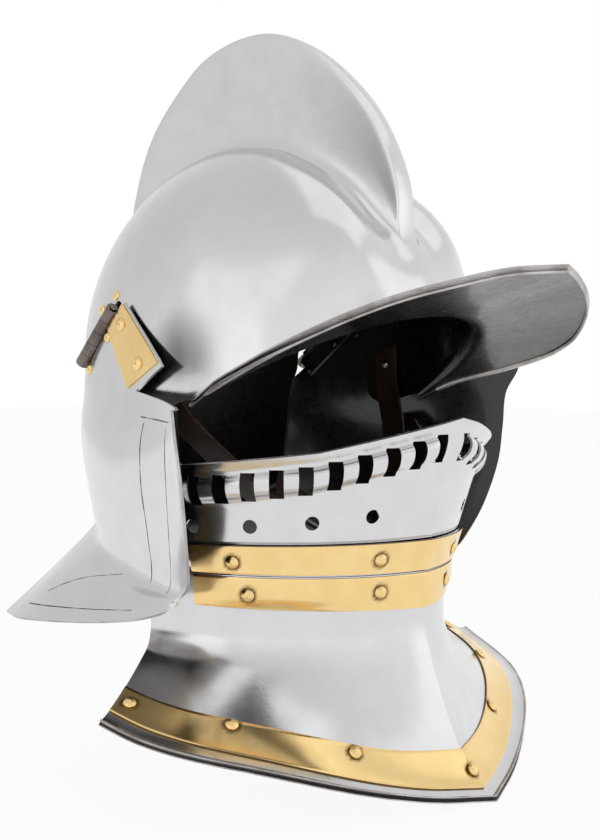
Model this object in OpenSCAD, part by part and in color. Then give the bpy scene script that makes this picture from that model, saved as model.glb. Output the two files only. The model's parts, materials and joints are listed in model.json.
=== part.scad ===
// Burgonet: an open helmet with a high comb, hinged cheekpieces and a falling buffe.
// Millimetres. The front faces -Y, +Z is up, the origin is the middle of the bowl.

/* [Bowl] */
// Half width of the bowl
bowl_half_w = 102; // [98:0.5:106]
// Half length of the bowl
bowl_half_l = 123; // [120:0.5:127]
// Height of the bowl above its middle
bowl_half_h = 136; // [132:0.5:140]
// Sheet of the bowl and cheekpieces
sheet_t = 1.5; // [1.2:0.1:1.8]
// Height of the comb's highest point above the middle
comb_top = 198; // [170:1:215]
// Half width of the comb's flat crest
crest_half_w = 6.6; // [5.5:0.1:8]
// Thickness of the rolled edge of the peak
peak_roll = 4.6; // [3:0.2:6]

/* [Buffe] */
// Sheet of the buffe plates
lame_t = 1.2; // [1:0.1:1.4]
// Brass band sheet
brass_t = 0.8; // [0.6:0.1:1]
// Raise of the slotted rib
rib_raise = 4.2; // [2:0.2:5]
// Slits on each side of the face plate
slit_count = 10; // [6:1:11]
// Width of a slit
slit_w = 7.6; // [5:0.2:8.4]
// Height of a slit
slit_h = 15; // [11:0.5:16]
// Diameter of the round breath holes
breath_d = 7.5; // [5:0.5:9]
// Diameter of the brass rivet heads on the bands
band_rivet_d = 7.6; // [6:0.2:9]

/* [Hinge] */
// Diameter of the hinge barrels
knuckle_d = 8; // [7.4:0.2:8.6]
// Diameter of the hinge pins
pin_d = 3; // [2:0.2:3.6]
// Length of the hinge barrels
barrel_l = 46; // [42:1:48]

/* [Hidden] */
fit = 0.05;      // shank in its hole, pin in its bore
head_lift = 0.1; // rivet head above the curved sheet it lies on
foot_h = 0.7;    // hammered end of a rivet
foot_drop = 0.45; // and its distance from the curved sheet
steel = "silver";
brass = "goldenrod";
leather = "saddlebrown";

// Small helpers
function unit(v) = v / norm(v);
function mix(a, b, t) = a + (b - a) * t;
function clamp01(t) = min(1, max(0, t));
function ease(t) = let (k = clamp01(t)) k * k * (3 - 2 * k);
function world(p) = [p[0], -p[1], p[2]];  // from side, forward, up to x, y, z

// Smooth curve through key points: each span is cut in n
function key(k, i) = i < 0 ? 2 * k[0] - k[1]
  : i >= len(k) ? 2 * k[len(k) - 1] - k[len(k) - 2] : k[i];
function spline(p, q, r, s, t) = 0.5 * (2 * q + (r - p) * t
  + (2 * p - 5 * q + 4 * r - s) * t * t + (3 * q - p - 3 * r + s) * t * t * t);
function curve_at(k, u) = let (i = min(len(k) - 2, max(0, floor(u))))
  spline(key(k, i - 1), key(k, i), key(k, i + 1), key(k, i + 2), u - i);
function refine(k, n) = [for (i = [0 : (len(k) - 1) * n]) curve_at(k, i / n)];
// Table of [position, value] pairs read at a position
function table(t, x) = lookup(x, t);

// Sheet laid on a grid of points: rows run up and columns to the right, seen from outside
function slope_rows(g, i, j) = g[min(i + 1, len(g) - 1)][j] - g[max(i - 1, 0)][j];
function slope_cols(g, i, j) = g[i][min(j + 1, len(g[0]) - 1)] - g[i][max(j - 1, 0)];
function normal_at(g, i, j) = unit(cross(slope_cols(g, i, j), slope_rows(g, i, j)));
function offset_grid(g, by) = [for (i = [0 : len(g) - 1]) [for (j = [0 : len(g[0]) - 1])
  g[i][j] + normal_at(g, i, j) * (is_num(by) ? by : by[i][j])]];
function quad(a, b, c, d) = [[a, b, c], [a, c, d]];

module shell(outer, inner) {
  m = len(outer);
  n = len(outer[0]);
  k = m * n;
  points = concat([for (r = outer) each r], [for (r = inner) each r]);
  faces = concat(
    [for (i = [0 : m - 2]) for (j = [0 : n - 2])
      each quad(i * n + j, (i + 1) * n + j, (i + 1) * n + j + 1, i * n + j + 1)],
    [for (i = [0 : m - 2]) for (j = [0 : n - 2])
      each quad(k + i * n + j, k + i * n + j + 1, k + (i + 1) * n + j + 1, k + (i + 1) * n + j)],
    [for (j = [0 : n - 2]) each quad(j, j + 1, k + j + 1, k + j)],
    [for (j = [0 : n - 2])
      each quad((m - 1) * n + j + 1, (m - 1) * n + j, k + (m - 1) * n + j, k + (m - 1) * n + j + 1)],
    [for (i = [0 : m - 2]) each quad((i + 1) * n, i * n, k + i * n, k + (i + 1) * n)],
    [for (i = [0 : m - 2])
      each quad(i * n + n - 1, (i + 1) * n + n - 1, k + (i + 1) * n + n - 1, k + i * n + n - 1)]);
  polyhedron(points, faces, convexity = 8);
}
module sheet(outer, thick) { shell(outer, offset_grid(outer, -thick)); }

// Turns local +Z to a direction, at a point
module at(point, dir) {
  translate(point) rotate([0, acos(dir[2] / norm(dir)), atan2(dir[1], dir[0])]) children();
}
// Domed rivet, hammered over inside: the head's underside is at z = 0 and the shank runs down
module rivet(head_d, rise, shank_d, grip, foot = true) {
  ball_r = (head_d * head_d / 4 + rise * rise) / (2 * rise);
  intersection() {
    translate([0, 0, rise - ball_r]) sphere(r = ball_r, $fn = 48);
    cylinder(d = head_d + 1, h = rise, $fn = 48);
  }
  translate([0, 0, -grip]) cylinder(d = shank_d, h = grip + 0.2, $fn = 32);
  if (foot) translate([0, 0, -grip - foot_h]) cylinder(d = shank_d + 1.8, h = foot_h, $fn = 32);
}
module drill(shank_d) { translate([0, 0, -12]) cylinder(d = shank_d + 2 * fit, h = 24, $fn = 32); }

// Bowl: rays from a point behind and below the middle, in planes that tilt round the side axis
ray_f = -15;
ray_z = -40;
tilt_front = 26.5;
tilt_nape = 218;
valley_x = 12.5;
crest_keys = [[41, 157], [46, 165], [51.3, 181], [61.4, 203], [69.8, 218], [79, 232.5],
  [88.1, 240.8], [98.6, 236.5], [106.4, 224], [115.3, 207.5], [124.3, 184], [134.7, 158.5],
  [148.2, 136], [165, 118], [185.3, 104], [200, 95]];
crest_line = refine(crest_keys, 4);
dip_keys = [[27, 0], [36, 0.5], [44, 4], [50, 7.5], [60, 9], [70, 9], [82, 5], [95, 2.5], [120, 1.5],
  [150, 1], [190, 0]];
edge_keys = [[26.5, 59.5], [33.7, 70.3], [45, 75.5], [56, 76.5], [68, 76.5], [77, 74], [85, 61],
  [93, 56], [96, 53], [100.4, 49.8], [106.5, 51], [118.5, 52], [130, 51.8],
  [138, 55], [148, 56.2], [164, 58.2], [186, 58.5], [208, 54], [218, 49]];

function quad_a(c, s) = c * c / pow(bowl_half_l, 2) + s * s / pow(bowl_half_h, 2);
function quad_b(c, s) = 2 * (ray_f * c / pow(bowl_half_l, 2) + ray_z * s / pow(bowl_half_h, 2));
base_c = pow(ray_f / bowl_half_l, 2) + pow(ray_z / bowl_half_h, 2) - 1;
function root_of(a, b, c) = (-b + sqrt(max(0, b * b - 4 * a * c))) / (2 * a);
function reach_x(x, tilt) = root_of(quad_a(cos(tilt), sin(tilt)), quad_b(cos(tilt), sin(tilt)),
  base_c + pow(x / bowl_half_w, 2));
function reach_side(side, tilt) = root_of(
  pow(sin(side) / bowl_half_w, 2) + pow(cos(side), 2) * quad_a(cos(tilt), sin(tilt)),
  cos(side) * quad_b(cos(tilt), sin(tilt)), base_c);
function dip(x, tilt) = table(dip_keys, tilt) * (1 - ease((abs(x) - valley_x) / 30));
// Fullness of the forehead and of the back of the head, beyond the plain oval
function hill(t) = ease(1 - abs(t));
function swell(x, tilt) = 7.6 * hill((tilt - 46) / 25) * hill((abs(x) - 46) / 34)
  + 2.4 * hill((tilt - 128) / 48) * hill((abs(x) - 64) / 52);
comb_gain = (comb_top - bowl_half_h) / 62;
function comb_rise(tilt) = tilt < 41 || tilt > 200 ? 0
  : max(0, table(crest_line, tilt) - reach_x(0, tilt) + dip(0, tilt)) * comb_gain;
function place(x, t, tilt) = world([x, ray_f + t * cos(tilt), ray_z + t * sin(tilt)]);

// One half of a section: the comb's columns first, then the side of the bowl
comb_cols = [[0, 1], [crest_half_w - 1.6, 0.985], [crest_half_w, 0.93], [crest_half_w + 1, 0.5],
  [crest_half_w + 2.8, 0.13], [valley_x, 0]];
side_steps = 9;
function comb_point(c, tilt) = let (x = c[0], h = comb_rise(tilt),
    drop = (1 - c[1]) * h, k = c[1] > 0.9 ? min(1, h / 30) : 1)
  [x, reach_x(x, tilt) - dip(x, tilt) + (h - drop * k) * (c[1] > 0 ? 1 : 0)];
function side_point(n, tilt) = let (t0 = reach_x(valley_x, tilt), from = atan2(valley_x, t0),
    side = mix(from, table(edge_keys, tilt), n / side_steps), r = reach_side(side, tilt),
    x = r * sin(side), r2 = r - dip(x, tilt) + swell(x, tilt)) [r2 * sin(side), r2 * cos(side)];
function half_section(tilt) = concat([for (c = comb_cols) comb_point(c, tilt)],
  [for (n = [1 : side_steps]) side_point(n, tilt)]);
function section(tilt) = let (h = half_section(tilt), n = len(h))
  [for (j = [-(n - 1) : n - 1]) place(sign(j) * h[abs(j)][0], h[abs(j)][1], tilt)];
bowl_tilts = [tilt_front, 30, 34, 38.5, 42, 46, 51, 56, 62, 69, 76, 82, 88.5, 94.5, 100.4, 107, 114,
  121, 129, 138, 148, 159, 170, 182, 195, 207, tilt_nape];
bowl_rows = [for (t = bowl_tilts) section(t)];

// Peak: straight lines from the brow to the rim, with a thick rolled edge
rim_keys = [[0, 201, 51.5], [32, 188, 48.8], [62, 176, 42], [86, 163, 35], [105, 148.5, 26.5],
  [117, 133.5, 18.2], [121.5, 114, 10], [115, 86, 1.5], [104.5, 57, -6.5], [99.5, 32, -18]];
cols = len(bowl_rows[0]);
mid = (cols - 1) / 2;
function side_turn(p) = atan2(abs(p[0]), norm([p[1] + ray_f, p[2] - ray_z]));
brow = bowl_rows[0];
brow_turns = [for (p = brow) side_turn(p)];
function rim_point(j) = let (q = brow_turns[j] / brow_turns[0],
    p = curve_at(rim_keys, q * (len(rim_keys) - 1)))
  world([sign(j - mid) * p[0], p[1], p[2]]);
rim = [for (j = [0 : cols - 1]) rim_point(j)];
function wide(j) = norm(rim[j] - brow[j]);
roll_l = 5;
function peak_share(row, j) = row < 5 ? [0.06, 0.16, 0.32, 0.52, 0.74][row]
  : let (edge = min(0.22, roll_l / wide(j))) 1 - edge * [1, 0.7, 0.25, 0][row - 5];
function peak_row(row) = [for (j = [0 : cols - 1]) mix(brow[j], rim[j], peak_share(row, j))];
peak_rows = [for (row = [8 : -1 : 0]) peak_row(row)];
// Nape: a short flare below the waist
function flare(p, t) = let (out = unit([p[0], p[1] + ray_f]))
  [p[0] + out[0] * 24 * t * t, p[1] + out[1] * 24 * t * t, p[2] - 40 * t];
nape_flare = [for (t = [0.25, 0.5, 0.75, 1]) [for (p = bowl_rows[len(bowl_rows) - 1]) flare(p, t)]];
skull_grid = concat(peak_rows, bowl_rows, nape_flare);
roll_gain = (peak_roll - sheet_t) / 2;
function roll(i, j) = (i == 1 || i == 2 ? roll_gain : i == 0 ? 0.35 * roll_gain : 0)
  * ease(wide(j) / 14);
skull_out = [for (i = [0 : len(skull_grid) - 1]) [for (j = [0 : cols - 1]) roll(i, j)]];
skull_in = [for (i = [0 : len(skull_grid) - 1]) [for (j = [0 : cols - 1]) -sheet_t - roll(i, j)]];

// Cheekpieces: a loft through level sections, skirt rim first, from the back edge to the front
cheek_keys = [
  [[126.5, -94.5, -139.5], [134.5, -75, -139], [138, -55, -137.5], [138.5, -32, -135.5], [138, -9, -133],
   [136.5, 10, -130.5], [133, 26, -128], [126, 38, -124.5], [118, 43, -121]],
  [[99.3, -81.6, -113], [111.3, -66.6, -115], [119, -48, -116], [122.5, -27.5, -117], [123, -7, -118],
   [123, 10, -118.5], [122, 25, -119], [120.5, 37, -119], [120, 46, -117]],
  [[77.2, -73.7, -91], [89.7, -59.4, -96], [100.6, -43.2, -100.5], [107.8, -23.8, -104.5],
   [111, -5, -107.5], [113, 12, -110], [114.5, 28, -112], [117.5, 43, -111.5], [122, 54, -108]],
  [[77.6, -74.2, -82], [89.8, -60, -83], [100.7, -43.6, -84], [109, -24.6, -85], [113.5, -5, -86],
   [116.5, 13, -86.5], [119.5, 32, -86.5], [124, 50, -87], [131, 62, -87]],
  [[80.3, -77.5, -60], [92, -63.6, -60], [102.9, -47.3, -60], [112.2, -27.5, -60], [118, -8, -60],
   [121.5, 13, -60], [125, 35, -60], [131, 57, -60], [139, 67.5, -60]],
  [[82.6, -79.2, -36], [93.8, -65.3, -36], [103.6, -48, -36], [111.4, -28.3, -36], [116.5, -9, -36],
   [120.5, 12, -36], [126, 36, -36], [134.5, 59, -36], [143.5, 68, -36]],
  [[79, -79.5, -13], [91.3, -65.5, -13], [100.2, -48, -13], [105.3, -29, -13], [108.5, -9, -13],
   [112.5, 12, -13], [120.5, 36, -13], [134, 59, -13], [146.5, 68, -15]],
  [[74, -81.5, 12], [89, -66.5, 12], [96.5, -48, 12], [101.2, -29, 12], [104.9, -9, 12],
   [107.8, 12, 12], [112, 36, 12], [130, 58, 11], [155, 72, 8]],
  [[70, -84, 40], [83.5, -67, 40], [93, -48, 40], [98.6, -29, 40], [101.6, -9, 40],
   [104.5, 12, 40], [110, 36, 40], [118, 60, 40], [123, 68, 40]]];
// The hinge and the cheekpiece move out with the side of the bowl when the bowl gets longer
hinge_f = -46;
hinge_z = 19.2;
drawn_half_l = 123;
function bowl_side(half_l) = bowl_half_w
  * sqrt(1 - pow(hinge_f / half_l, 2) - pow(hinge_z / bowl_half_h, 2));
cheek_shift = bowl_side(bowl_half_l) - bowl_side(drawn_half_l);
function beside(p) = world([-p[0] - cheek_shift, p[1], p[2]]);
cheek_rows = [for (r = cheek_keys) refine([for (p = r) beside(p)], 2)];
cheek_lines = [for (j = [0 : len(cheek_rows[0]) - 1]) refine([for (r = cheek_rows) r[j]], 3)];
cheek_grid = [for (i = [0 : len(cheek_lines[0]) - 1]) [for (c = cheek_lines) c[i]]];
// A point of a grid between its lines, and the way out of the sheet there
function grid_point(g, u, v) = let (i = floor(u), j = floor(v), a = u - i, b = v - j)
  mix(mix(g[i][j], g[i][j + 1], b), mix(g[i + 1][j], g[i + 1][j + 1], b), a);
function grid_normal(g, u, v) = let (i = floor(u), j = floor(v))
  unit(cross(g[i][j + 1] - g[i][j] + g[i + 1][j + 1] - g[i + 1][j],
    g[i + 1][j] - g[i][j] + g[i + 1][j + 1] - g[i][j + 1]));
module on_grid(g, spot, lift) {
  n = grid_normal(g, spot[0], spot[1]);
  at(grid_point(g, spot[0], spot[1]) + n * lift, n) children();
}

// Hinge frame: Z along the barrel, X down the cheekpiece, Y towards the head
hinge_low = beside([94.4, -63.5, 3.7]);
hinge_high = beside([99.7, -28.5, 34.7]);
hinge_mid = (hinge_low + hinge_high) / 2;
hinge_dir = unit(hinge_high - hinge_low);
cheek_fall = world([-0.19, 0.66, -0.73]);
lean = acos(hinge_dir[2]);
turn = atan2(hinge_dir[1], hinge_dir[0]);
lean_x = [cos(turn) * cos(lean), sin(turn) * cos(lean), -sin(lean)];
lean_y = [-sin(turn), cos(turn), 0];
module in_hinge() {
  translate(hinge_mid) rotate([0, lean, turn])
    rotate([0, 0, atan2(cheek_fall * lean_y, cheek_fall * lean_x)]) children();
}

knuckles = 5;
knuckle_l = barrel_l / knuckles;
knuckle_gap = 0.15;
leaf_t = 1.3;
leaf_bite = 0.7;     // how deep a leaf meets its barrels
cheek_leaf_drop = 1.9;
bowl_leaf_drop = 2.8;
hinge_shank_d = 2.4;
hinge_head_d = 6.4;
arm_shank_d = 3;
arm_head_d = 8;
arm_gap = 0.12;
cheek_leaf_spots = [[19.65, 3.25], [21.7, 5.4]];
arm_spots = [[22.4, 7], [20, 9]];
bowl_leaf_spots = [[23.4, 0.45], [25.1, 0.7]];

// Outline cut away above the cheekpiece: hinge line, arm front, notch, front top edge
cheek_edge_s = knuckle_d / 2 + 0.45;
notch_right = [[60, 42], [55.3, 16.6], [150, 98.5]];
notch_left = [[60, 42], [57.5, 33], [98.5, 84], [150, 147]];
module cheek_trim(notch) {
  in_hinge() rotate([90, 0, 0]) linear_extrude(160, center = true)
    polygon(concat([[-60, -80], [cheek_edge_s, -80], [cheek_edge_s, 32.5]], notch,
      [[150, 160], [-60, 160]]));
}
module cheek_sheet(notch) {
  difference() {
    sheet(cheek_grid, sheet_t);
    cheek_trim(notch);
    for (r = cheek_leaf_spots) on_grid(cheek_grid, r, 0) drill(hinge_shank_d);
    for (r = arm_spots) on_grid(cheek_grid, r, 0) drill(arm_shank_d);
  }
}
function arm_part(g) = [for (i = [17 : len(g) - 1]) [for (j = [3 : 14]) g[i][j]]];
module arm_plate_sheet() {
  difference() {
    intersection() {
      shell(arm_part(offset_grid(cheek_grid, arm_gap + brass_t)),
        arm_part(offset_grid(cheek_grid, arm_gap)));
      in_hinge() rotate([90, 0, 0]) linear_extrude(60, center = true)
        polygon([[cheek_edge_s, 11.2], [cheek_edge_s, 31.3], [55.6, 40.2], [48.5, 11]]);
    }
    for (r = arm_spots) on_grid(cheek_grid, r, 0) drill(arm_shank_d);
  }
}
module arm_rivets() {
  for (r = arm_spots) on_grid(cheek_grid, r, arm_gap + brass_t + head_lift)
    rivet(arm_head_d, 2.4, arm_shank_d, arm_gap + brass_t + sheet_t + foot_drop);
}
module cheek_leaf_rivets() {
  for (r = cheek_leaf_spots) on_grid(cheek_grid, r, head_lift)
    rivet(hinge_head_d, 1.8, hinge_shank_d, sheet_t + leaf_t + cheek_leaf_drop);
}

// Knuckles of one leaf: the cheek leaf has the first, third and fifth from below
module barrel(odd) {
  for (k = [0 : knuckles - 1]) if ((k % 2 == 0) == odd)
    translate([0, 0, -barrel_l / 2 + k * knuckle_l + knuckle_gap])
      cylinder(d = knuckle_d, h = knuckle_l - 2 * knuckle_gap, $fn = 40);
}
module other_barrel(odd) {
  for (k = [0 : knuckles - 1]) if ((k % 2 == 0) != odd)
    translate([0, 0, -barrel_l / 2 + k * knuckle_l - knuckle_gap])
      cylinder(d = knuckle_d + 1, h = knuckle_l + 2 * knuckle_gap, $fn = 40);
}
module pin_bore() {
  translate([0, 0, -barrel_l]) cylinder(d = pin_d + 2 * fit, h = 2 * barrel_l, $fn = 32);
}
module cheek_leaf() {
  difference() {
    in_hinge() difference() {
      union() {
        barrel(true);
        translate([0, knuckle_d / 2 - leaf_bite, -barrel_l / 2 + 3])
          cube([12.5, leaf_t, barrel_l - 3 - knuckle_gap]);
      }
      other_barrel(true);
      pin_bore();
    }
    for (r = cheek_leaf_spots) on_grid(cheek_grid, r, 0) drill(hinge_shank_d);
  }
}
bowl_leaf_in = 5.7;
bowl_leaf_low = -10;
bowl_leaf_l = 35.5;
bowl_leaf_w = 19;
bowl_leaf_tip = -10;
module bowl_leaf() {
  difference() {
    in_hinge() difference() {
      union() {
        barrel(false);
        translate([-2.8, 0, -barrel_l / 2 + knuckle_l + knuckle_gap])
          cube([2.6, bowl_leaf_in + leaf_t / 2, 3 * knuckle_l - 2 * knuckle_gap]);
        translate([-0.2, bowl_leaf_in, bowl_leaf_low]) rotate([0, 0, bowl_leaf_tip])
          translate([-bowl_leaf_w, 0, 0]) cube([bowl_leaf_w, leaf_t, bowl_leaf_l]);
      }
      other_barrel(false);
      pin_bore();
    }
    for (r = bowl_leaf_spots) on_grid(skull_grid, r, 0) drill(hinge_shank_d);
  }
}
module bowl_leaf_rivets() {
  for (r = bowl_leaf_spots) on_grid(skull_grid, r, head_lift)
    rivet(hinge_head_d, 1.8, hinge_shank_d, sheet_t + leaf_t + bowl_leaf_drop);
}
module hinge_pin() {
  in_hinge() {
    cylinder(d = pin_d, h = barrel_l + 0.6, center = true, $fn = 32);
    for (s = [-1, 1]) translate([0, 0, s * (barrel_l / 2 + 0.7)])
      cylinder(d = pin_d + 1.6, h = 0.8, center = true, $fn = 32);
  }
}

module skull() {
  color(steel) difference() {
    shell(offset_grid(skull_grid, skull_out), offset_grid(skull_grid, skull_in));
    for (s = [0, 1]) mirror([s, 0, 0]) {
      for (r = bowl_leaf_spots) on_grid(skull_grid, r, 0) drill(hinge_shank_d);
      on_chin() drill(strap_shank_d);
    }
  }
}
module cheek_right() { color(steel) cheek_sheet(notch_right); }
module cheek_left() { color(steel) mirror([1, 0, 0]) cheek_sheet(notch_left); }
module arm_plate_right() { color(brass) arm_plate_sheet(); }
module arm_plate_left() { color(brass) mirror([1, 0, 0]) arm_plate_sheet(); }
module arm_plate_rivets_right() { color(brass) arm_rivets(); }
module arm_plate_rivets_left() { color(brass) mirror([1, 0, 0]) arm_rivets(); }
module cheek_leaf_rivets_right() { color(brass) cheek_leaf_rivets(); }
module cheek_leaf_rivets_left() { color(brass) mirror([1, 0, 0]) cheek_leaf_rivets(); }
module hinge_leaf_cheek_right() { color(steel) cheek_leaf(); }
module hinge_leaf_cheek_left() { color(steel) mirror([1, 0, 0]) cheek_leaf(); }
module hinge_leaf_bowl_right() { color(steel) bowl_leaf(); }
module hinge_leaf_bowl_left() { color(steel) mirror([1, 0, 0]) bowl_leaf(); }
module bowl_leaf_rivets_right() { color(brass) bowl_leaf_rivets(); }
module bowl_leaf_rivets_left() { color(brass) mirror([1, 0, 0]) bowl_leaf_rivets(); }
module hinge_pin_right() { color(steel) hinge_pin(); }
module hinge_pin_left() { color(steel) mirror([1, 0, 0]) hinge_pin(); }

// Buffe: each half of a plate turns round an upright line on the other side of the middle,
// which gives the keel in front. A plate is read from its keel line.
turn_side = 13;
turn_f = -2;
rear_turn = 86;
half_cols = 12;
function turn_r(keel) = norm([turn_side, keel - turn_f]);
function col_turn(q, r) = mix(asin(turn_side / r), rear_turn, abs(q));
// Behind the cheekpieces the plates open less, so that their ears pass under them
function tuck(turn, r, z) = 0.17 * max(0, z + 91.7) * ease((48 - turn_f - r * cos(turn)) / 25);
function lame_point(q, keel, z, out = 0) = let (r = turn_r(keel), t = col_turn(q, r),
    k = r + out - tuck(t, r, z))
  world([sign(q) * (k * sin(t) - turn_side), turn_f + k * cos(t), z]);
cols_86 = [for (j = [-half_cols : half_cols]) j / half_cols];
cols_88 = concat([-1.02], cols_86, [1.02]);

lap_gap = 0.45;
band_gap = 0.15;
face_bottom = -101.5;
face_tuck = 1.7;     // its hidden lower edge leans in, to pass the middle lame
neck_in = -102.5;    // the middle lame turns in below this level
neck_end = -106.3;
function face_keel(z) = 116 + 0.307 * (z + 91.7);
function lame_keel(z) = z >= neck_in ? face_keel(z) + 2.05 + (lame_t - 1.2)
  : table([[-118, 109.4], [neck_end, 110.2], [neck_in, face_keel(neck_in) + 2.05]], z);
function collar_keel(z) = z >= neck_in ? lame_keel(z) + lame_t + lap_gap
  : table([[-150, 111.2], [neck_end - 0.4, 112.05],
      [neck_in, lame_keel(neck_in) + lame_t + lap_gap]], z);
// The ears reach back from here; in front of it the sheet ends at its top edge
ear_front = 22.5;
ear_top = -36;
collar_fall = 2.7;   // the collar's top edge drops from the ears to the keel
edge_run = 104;
function collar_level_at(f) = collar_edge + collar_fall * (112 - f) / edge_run;
module above_edge(level, fall) {
  translate([0, -ear_front, level]) rotate([atan2(fall, edge_run), 0, 0])
    translate([-200, -200, 0]) cube([400, 200, 120]);
}

// Face plate: its rows follow the top edge
face_top_keys = [[5.6, -25.4], [12.9, -28.7], [22.4, -33.3], [40.5, -42.3], [60, -47],
  [73, -49.4], [79, -32], [86, -31]];
face_rib_keys = [[7.5, 0.2], [10.5, 0.8], [14, 1], [17.5, 0.8], [20.5, 0.22], [23.5, 0]];
face_lip_keys = [[0, 3], [2.5, 1.8], [5, 0.5], [7.5, 0]];
face_steps = [0, 2.5, 5, 7.5, 10.5, 14, 17.5, 20.5, 23.5];
lower_steps = 4;
function face_turn(q) = col_turn(q, turn_r(130));
function face_top(q) = table(face_top_keys, face_turn(q));
function rib_fade(q) = ease((face_turn(q) - 6) / 7) * (1 - ease((face_turn(q) - 68.5) / 5));
function lip_fade(q) = (0.5 + 0.5 * rib_fade(q)) * (1 - ease((face_turn(q) - 64) / 9));
function face_bulge(q, s) = (s > 7.5 ? table(face_rib_keys, s) * rib_raise * rib_fade(q) : 0)
  + (s < 7.5 ? table(face_lip_keys, s) * lip_fade(q) : 0);
function face_point(q, s) = let (z = face_top(q) - s)
  lame_point(q, face_keel(z), z, face_bulge(q, s));
function face_low(q, t) = let (z = mix(face_bottom, face_top(q) - 23.5, t))
  lame_point(q, face_keel(z), z, t == 0 ? -face_tuck : 0);
face_grid = concat([for (k = [0 : lower_steps - 1]) [for (q = cols_86) face_low(q, k / lower_steps)]],
  [for (k = [len(face_steps) - 1 : -1 : 0]) [for (q = cols_86) face_point(q, face_steps[k])]]);
slit_first = 10.1;
slit_last = 69.3;
slit_level = 14;     // middle of the rib below the top edge
breath_first = 25.9;
breath_pitch = 15.2;
breath_levels = [-76.6, -79.3, -81.1, -82.1];
pivot_f = 17;
pivot_z = -42;
pivot_d = 4;
module round_turn(t, z) { translate([turn_side, -turn_f, z]) rotate([0, 0, -t]) children(); }
module pivot_hole() {
  translate([0, -pivot_f, pivot_z]) rotate([0, 90, 0])
    cylinder(d = pivot_d + 2 * fit, h = 300, center = true, $fn = 40);
}
module face_cuts() {
  for (k = [0 : slit_count - 1]) {
    t = slit_first + (slit_last - slit_first) * k / (slit_count - 1);
    round_turn(t, table(face_top_keys, t) - slit_level)
      translate([-slit_w / 2, -160, -slit_h / 2]) cube([slit_w, 60, slit_h]);
  }
  for (k = [0 : 3]) round_turn(breath_first + k * breath_pitch, breath_levels[k])
    rotate([90, 0, 0]) translate([0, 0, 100]) cylinder(d = breath_d, h = 60, $fn = 40);
}
module face_plate() {
  color(steel) difference() {
    sheet(face_grid, lame_t);
    for (s = [0, 1]) mirror([s, 0, 0]) face_cuts();
    pivot_hole();
  }
}

// Middle lame and its band
lame_levels = [-114.5, -110, neck_end, neck_in, -97, -91.7, -80, -55, ear_top];
lame_grid = [for (z = lame_levels) [for (q = cols_86) lame_point(q, lame_keel(z), z)]];
band_cols = [for (q = cols_86) if (abs(q) < 0.86) q];
function col_f(q, keel) = let (r = turn_r(keel)) turn_f + r * cos(col_turn(q, r));
lame_edge = -91.3;
band_mid = (len(band_cols) - 1) / 2;
function band_low(q) = mix(-108.3, -105.8, abs(q));
lame_band_grid = concat([[for (q = band_cols)
    lame_point(q, face_keel(band_low(q)) + 2.05 + (lame_t - 1.2), band_low(q))]],
  [for (t = [0, 0.33, 0.66, 1]) [for (q = band_cols)
    let (z = mix(neck_in, lame_edge, t)) lame_point(q, lame_keel(z), z)]]);
band_shank_d = 3;
function both(spots, m) = [for (s = spots) for (f = [-1, 1]) [s[0], m + f * s[1]]];
lame_band_spots = both([[1.68, 2.45], [1.68, 8.25]], band_mid);
module band(g) { shell(offset_grid(g, band_gap + brass_t), offset_grid(g, band_gap)); }
module band_rivets(g, spots, foot = true, lift = head_lift) {
  for (s = spots) on_grid(g, s, band_gap + brass_t + lift)
    rivet(band_rivet_d, 2.2, band_shank_d,
      band_gap + brass_t + lame_t + lift + (foot ? foot_drop : -0.15), foot);
}
module band_drills(g, spots) { for (s = spots) on_grid(g, s, 0) drill(band_shank_d); }
module middle_lame() {
  color(steel) difference() {
    sheet(lame_grid, lame_t);
    above_edge(lame_edge, 0);
    band_drills(lame_band_grid, lame_band_spots);
    pivot_hole();
  }
}
module middle_lame_band() {
  color(brass) difference() {
    band(lame_band_grid);
    band_drills(lame_band_grid, lame_band_spots);
  }
}
// Filed flush inside, where the face plate slides
module middle_lame_rivets() { color(brass) band_rivets(lame_band_grid, lame_band_spots, false); }

// Collar plate: neck, throat and flared gorget in one sheet
rim_plan_keys = [[0, 160], [40, 145.5], [79, 127], [109, 108], [134, 84], [150, 58], [159.5, 30]];
collar_end = 1.02;
rim_level = -164;
rim_slope = -0.374;
throat_keys = [[0, -138], [0.12, -143], [0.25, -148], [0.6, -149], [1.02, -147]];
flare_bow = [1.9, 1.36];
keel_grip = 2.4;     // the keel is deeper inside than the sheet beside it
rim_lift = 6.5;      // the rim rises a little between the keel and the ends
function rim_plan(q) = let (p = curve_at(rim_plan_keys, abs(q) / collar_end * 6))
  [sign(q) * p[0], p[1]];
function throat_z(q) = table(throat_keys, abs(q));
function throat_point(q) = lame_point(q, 111.3, throat_z(q), -neck_pinch(q, throat_z(q)));
function gorget_point(q, p) = let (a = throat_point(q), b = rim_plan(q),
    n = mix(flare_bow[0], flare_bow[1], abs(q) / collar_end),
    zr = rim_level + rim_slope * b[1] + rim_lift * hill((abs(q) - 0.55) / 0.45))
  [mix(a[0], b[0], p), mix(a[1], -b[1], p), mix(a[2], zr, 1 - pow(1 - p, n))];
gorget_shares = [1, 0.975, 0.94, 0.83, 0.68, 0.52, 0.36, 0.22, 0.11, 0.03];
collar_edge = -109.5;
band_drop = 0.5;     // the band ends this far below the top edge
function collar_top(q) = collar_level_at(col_f(q, 112)) - band_drop;
function collar_low(q) = mix(-129.3, -123.4, min(1, abs(q)));
neck_shares = [0.4, 0.75];
function collar_level(q, k) = k < 4 ? mix(collar_low(q), -117, k / 3) : k == 4 ? collar_top(q)
  : [neck_end - 0.4, neck_in, -91.7, -80, -55, ear_top][k - 5];
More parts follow.
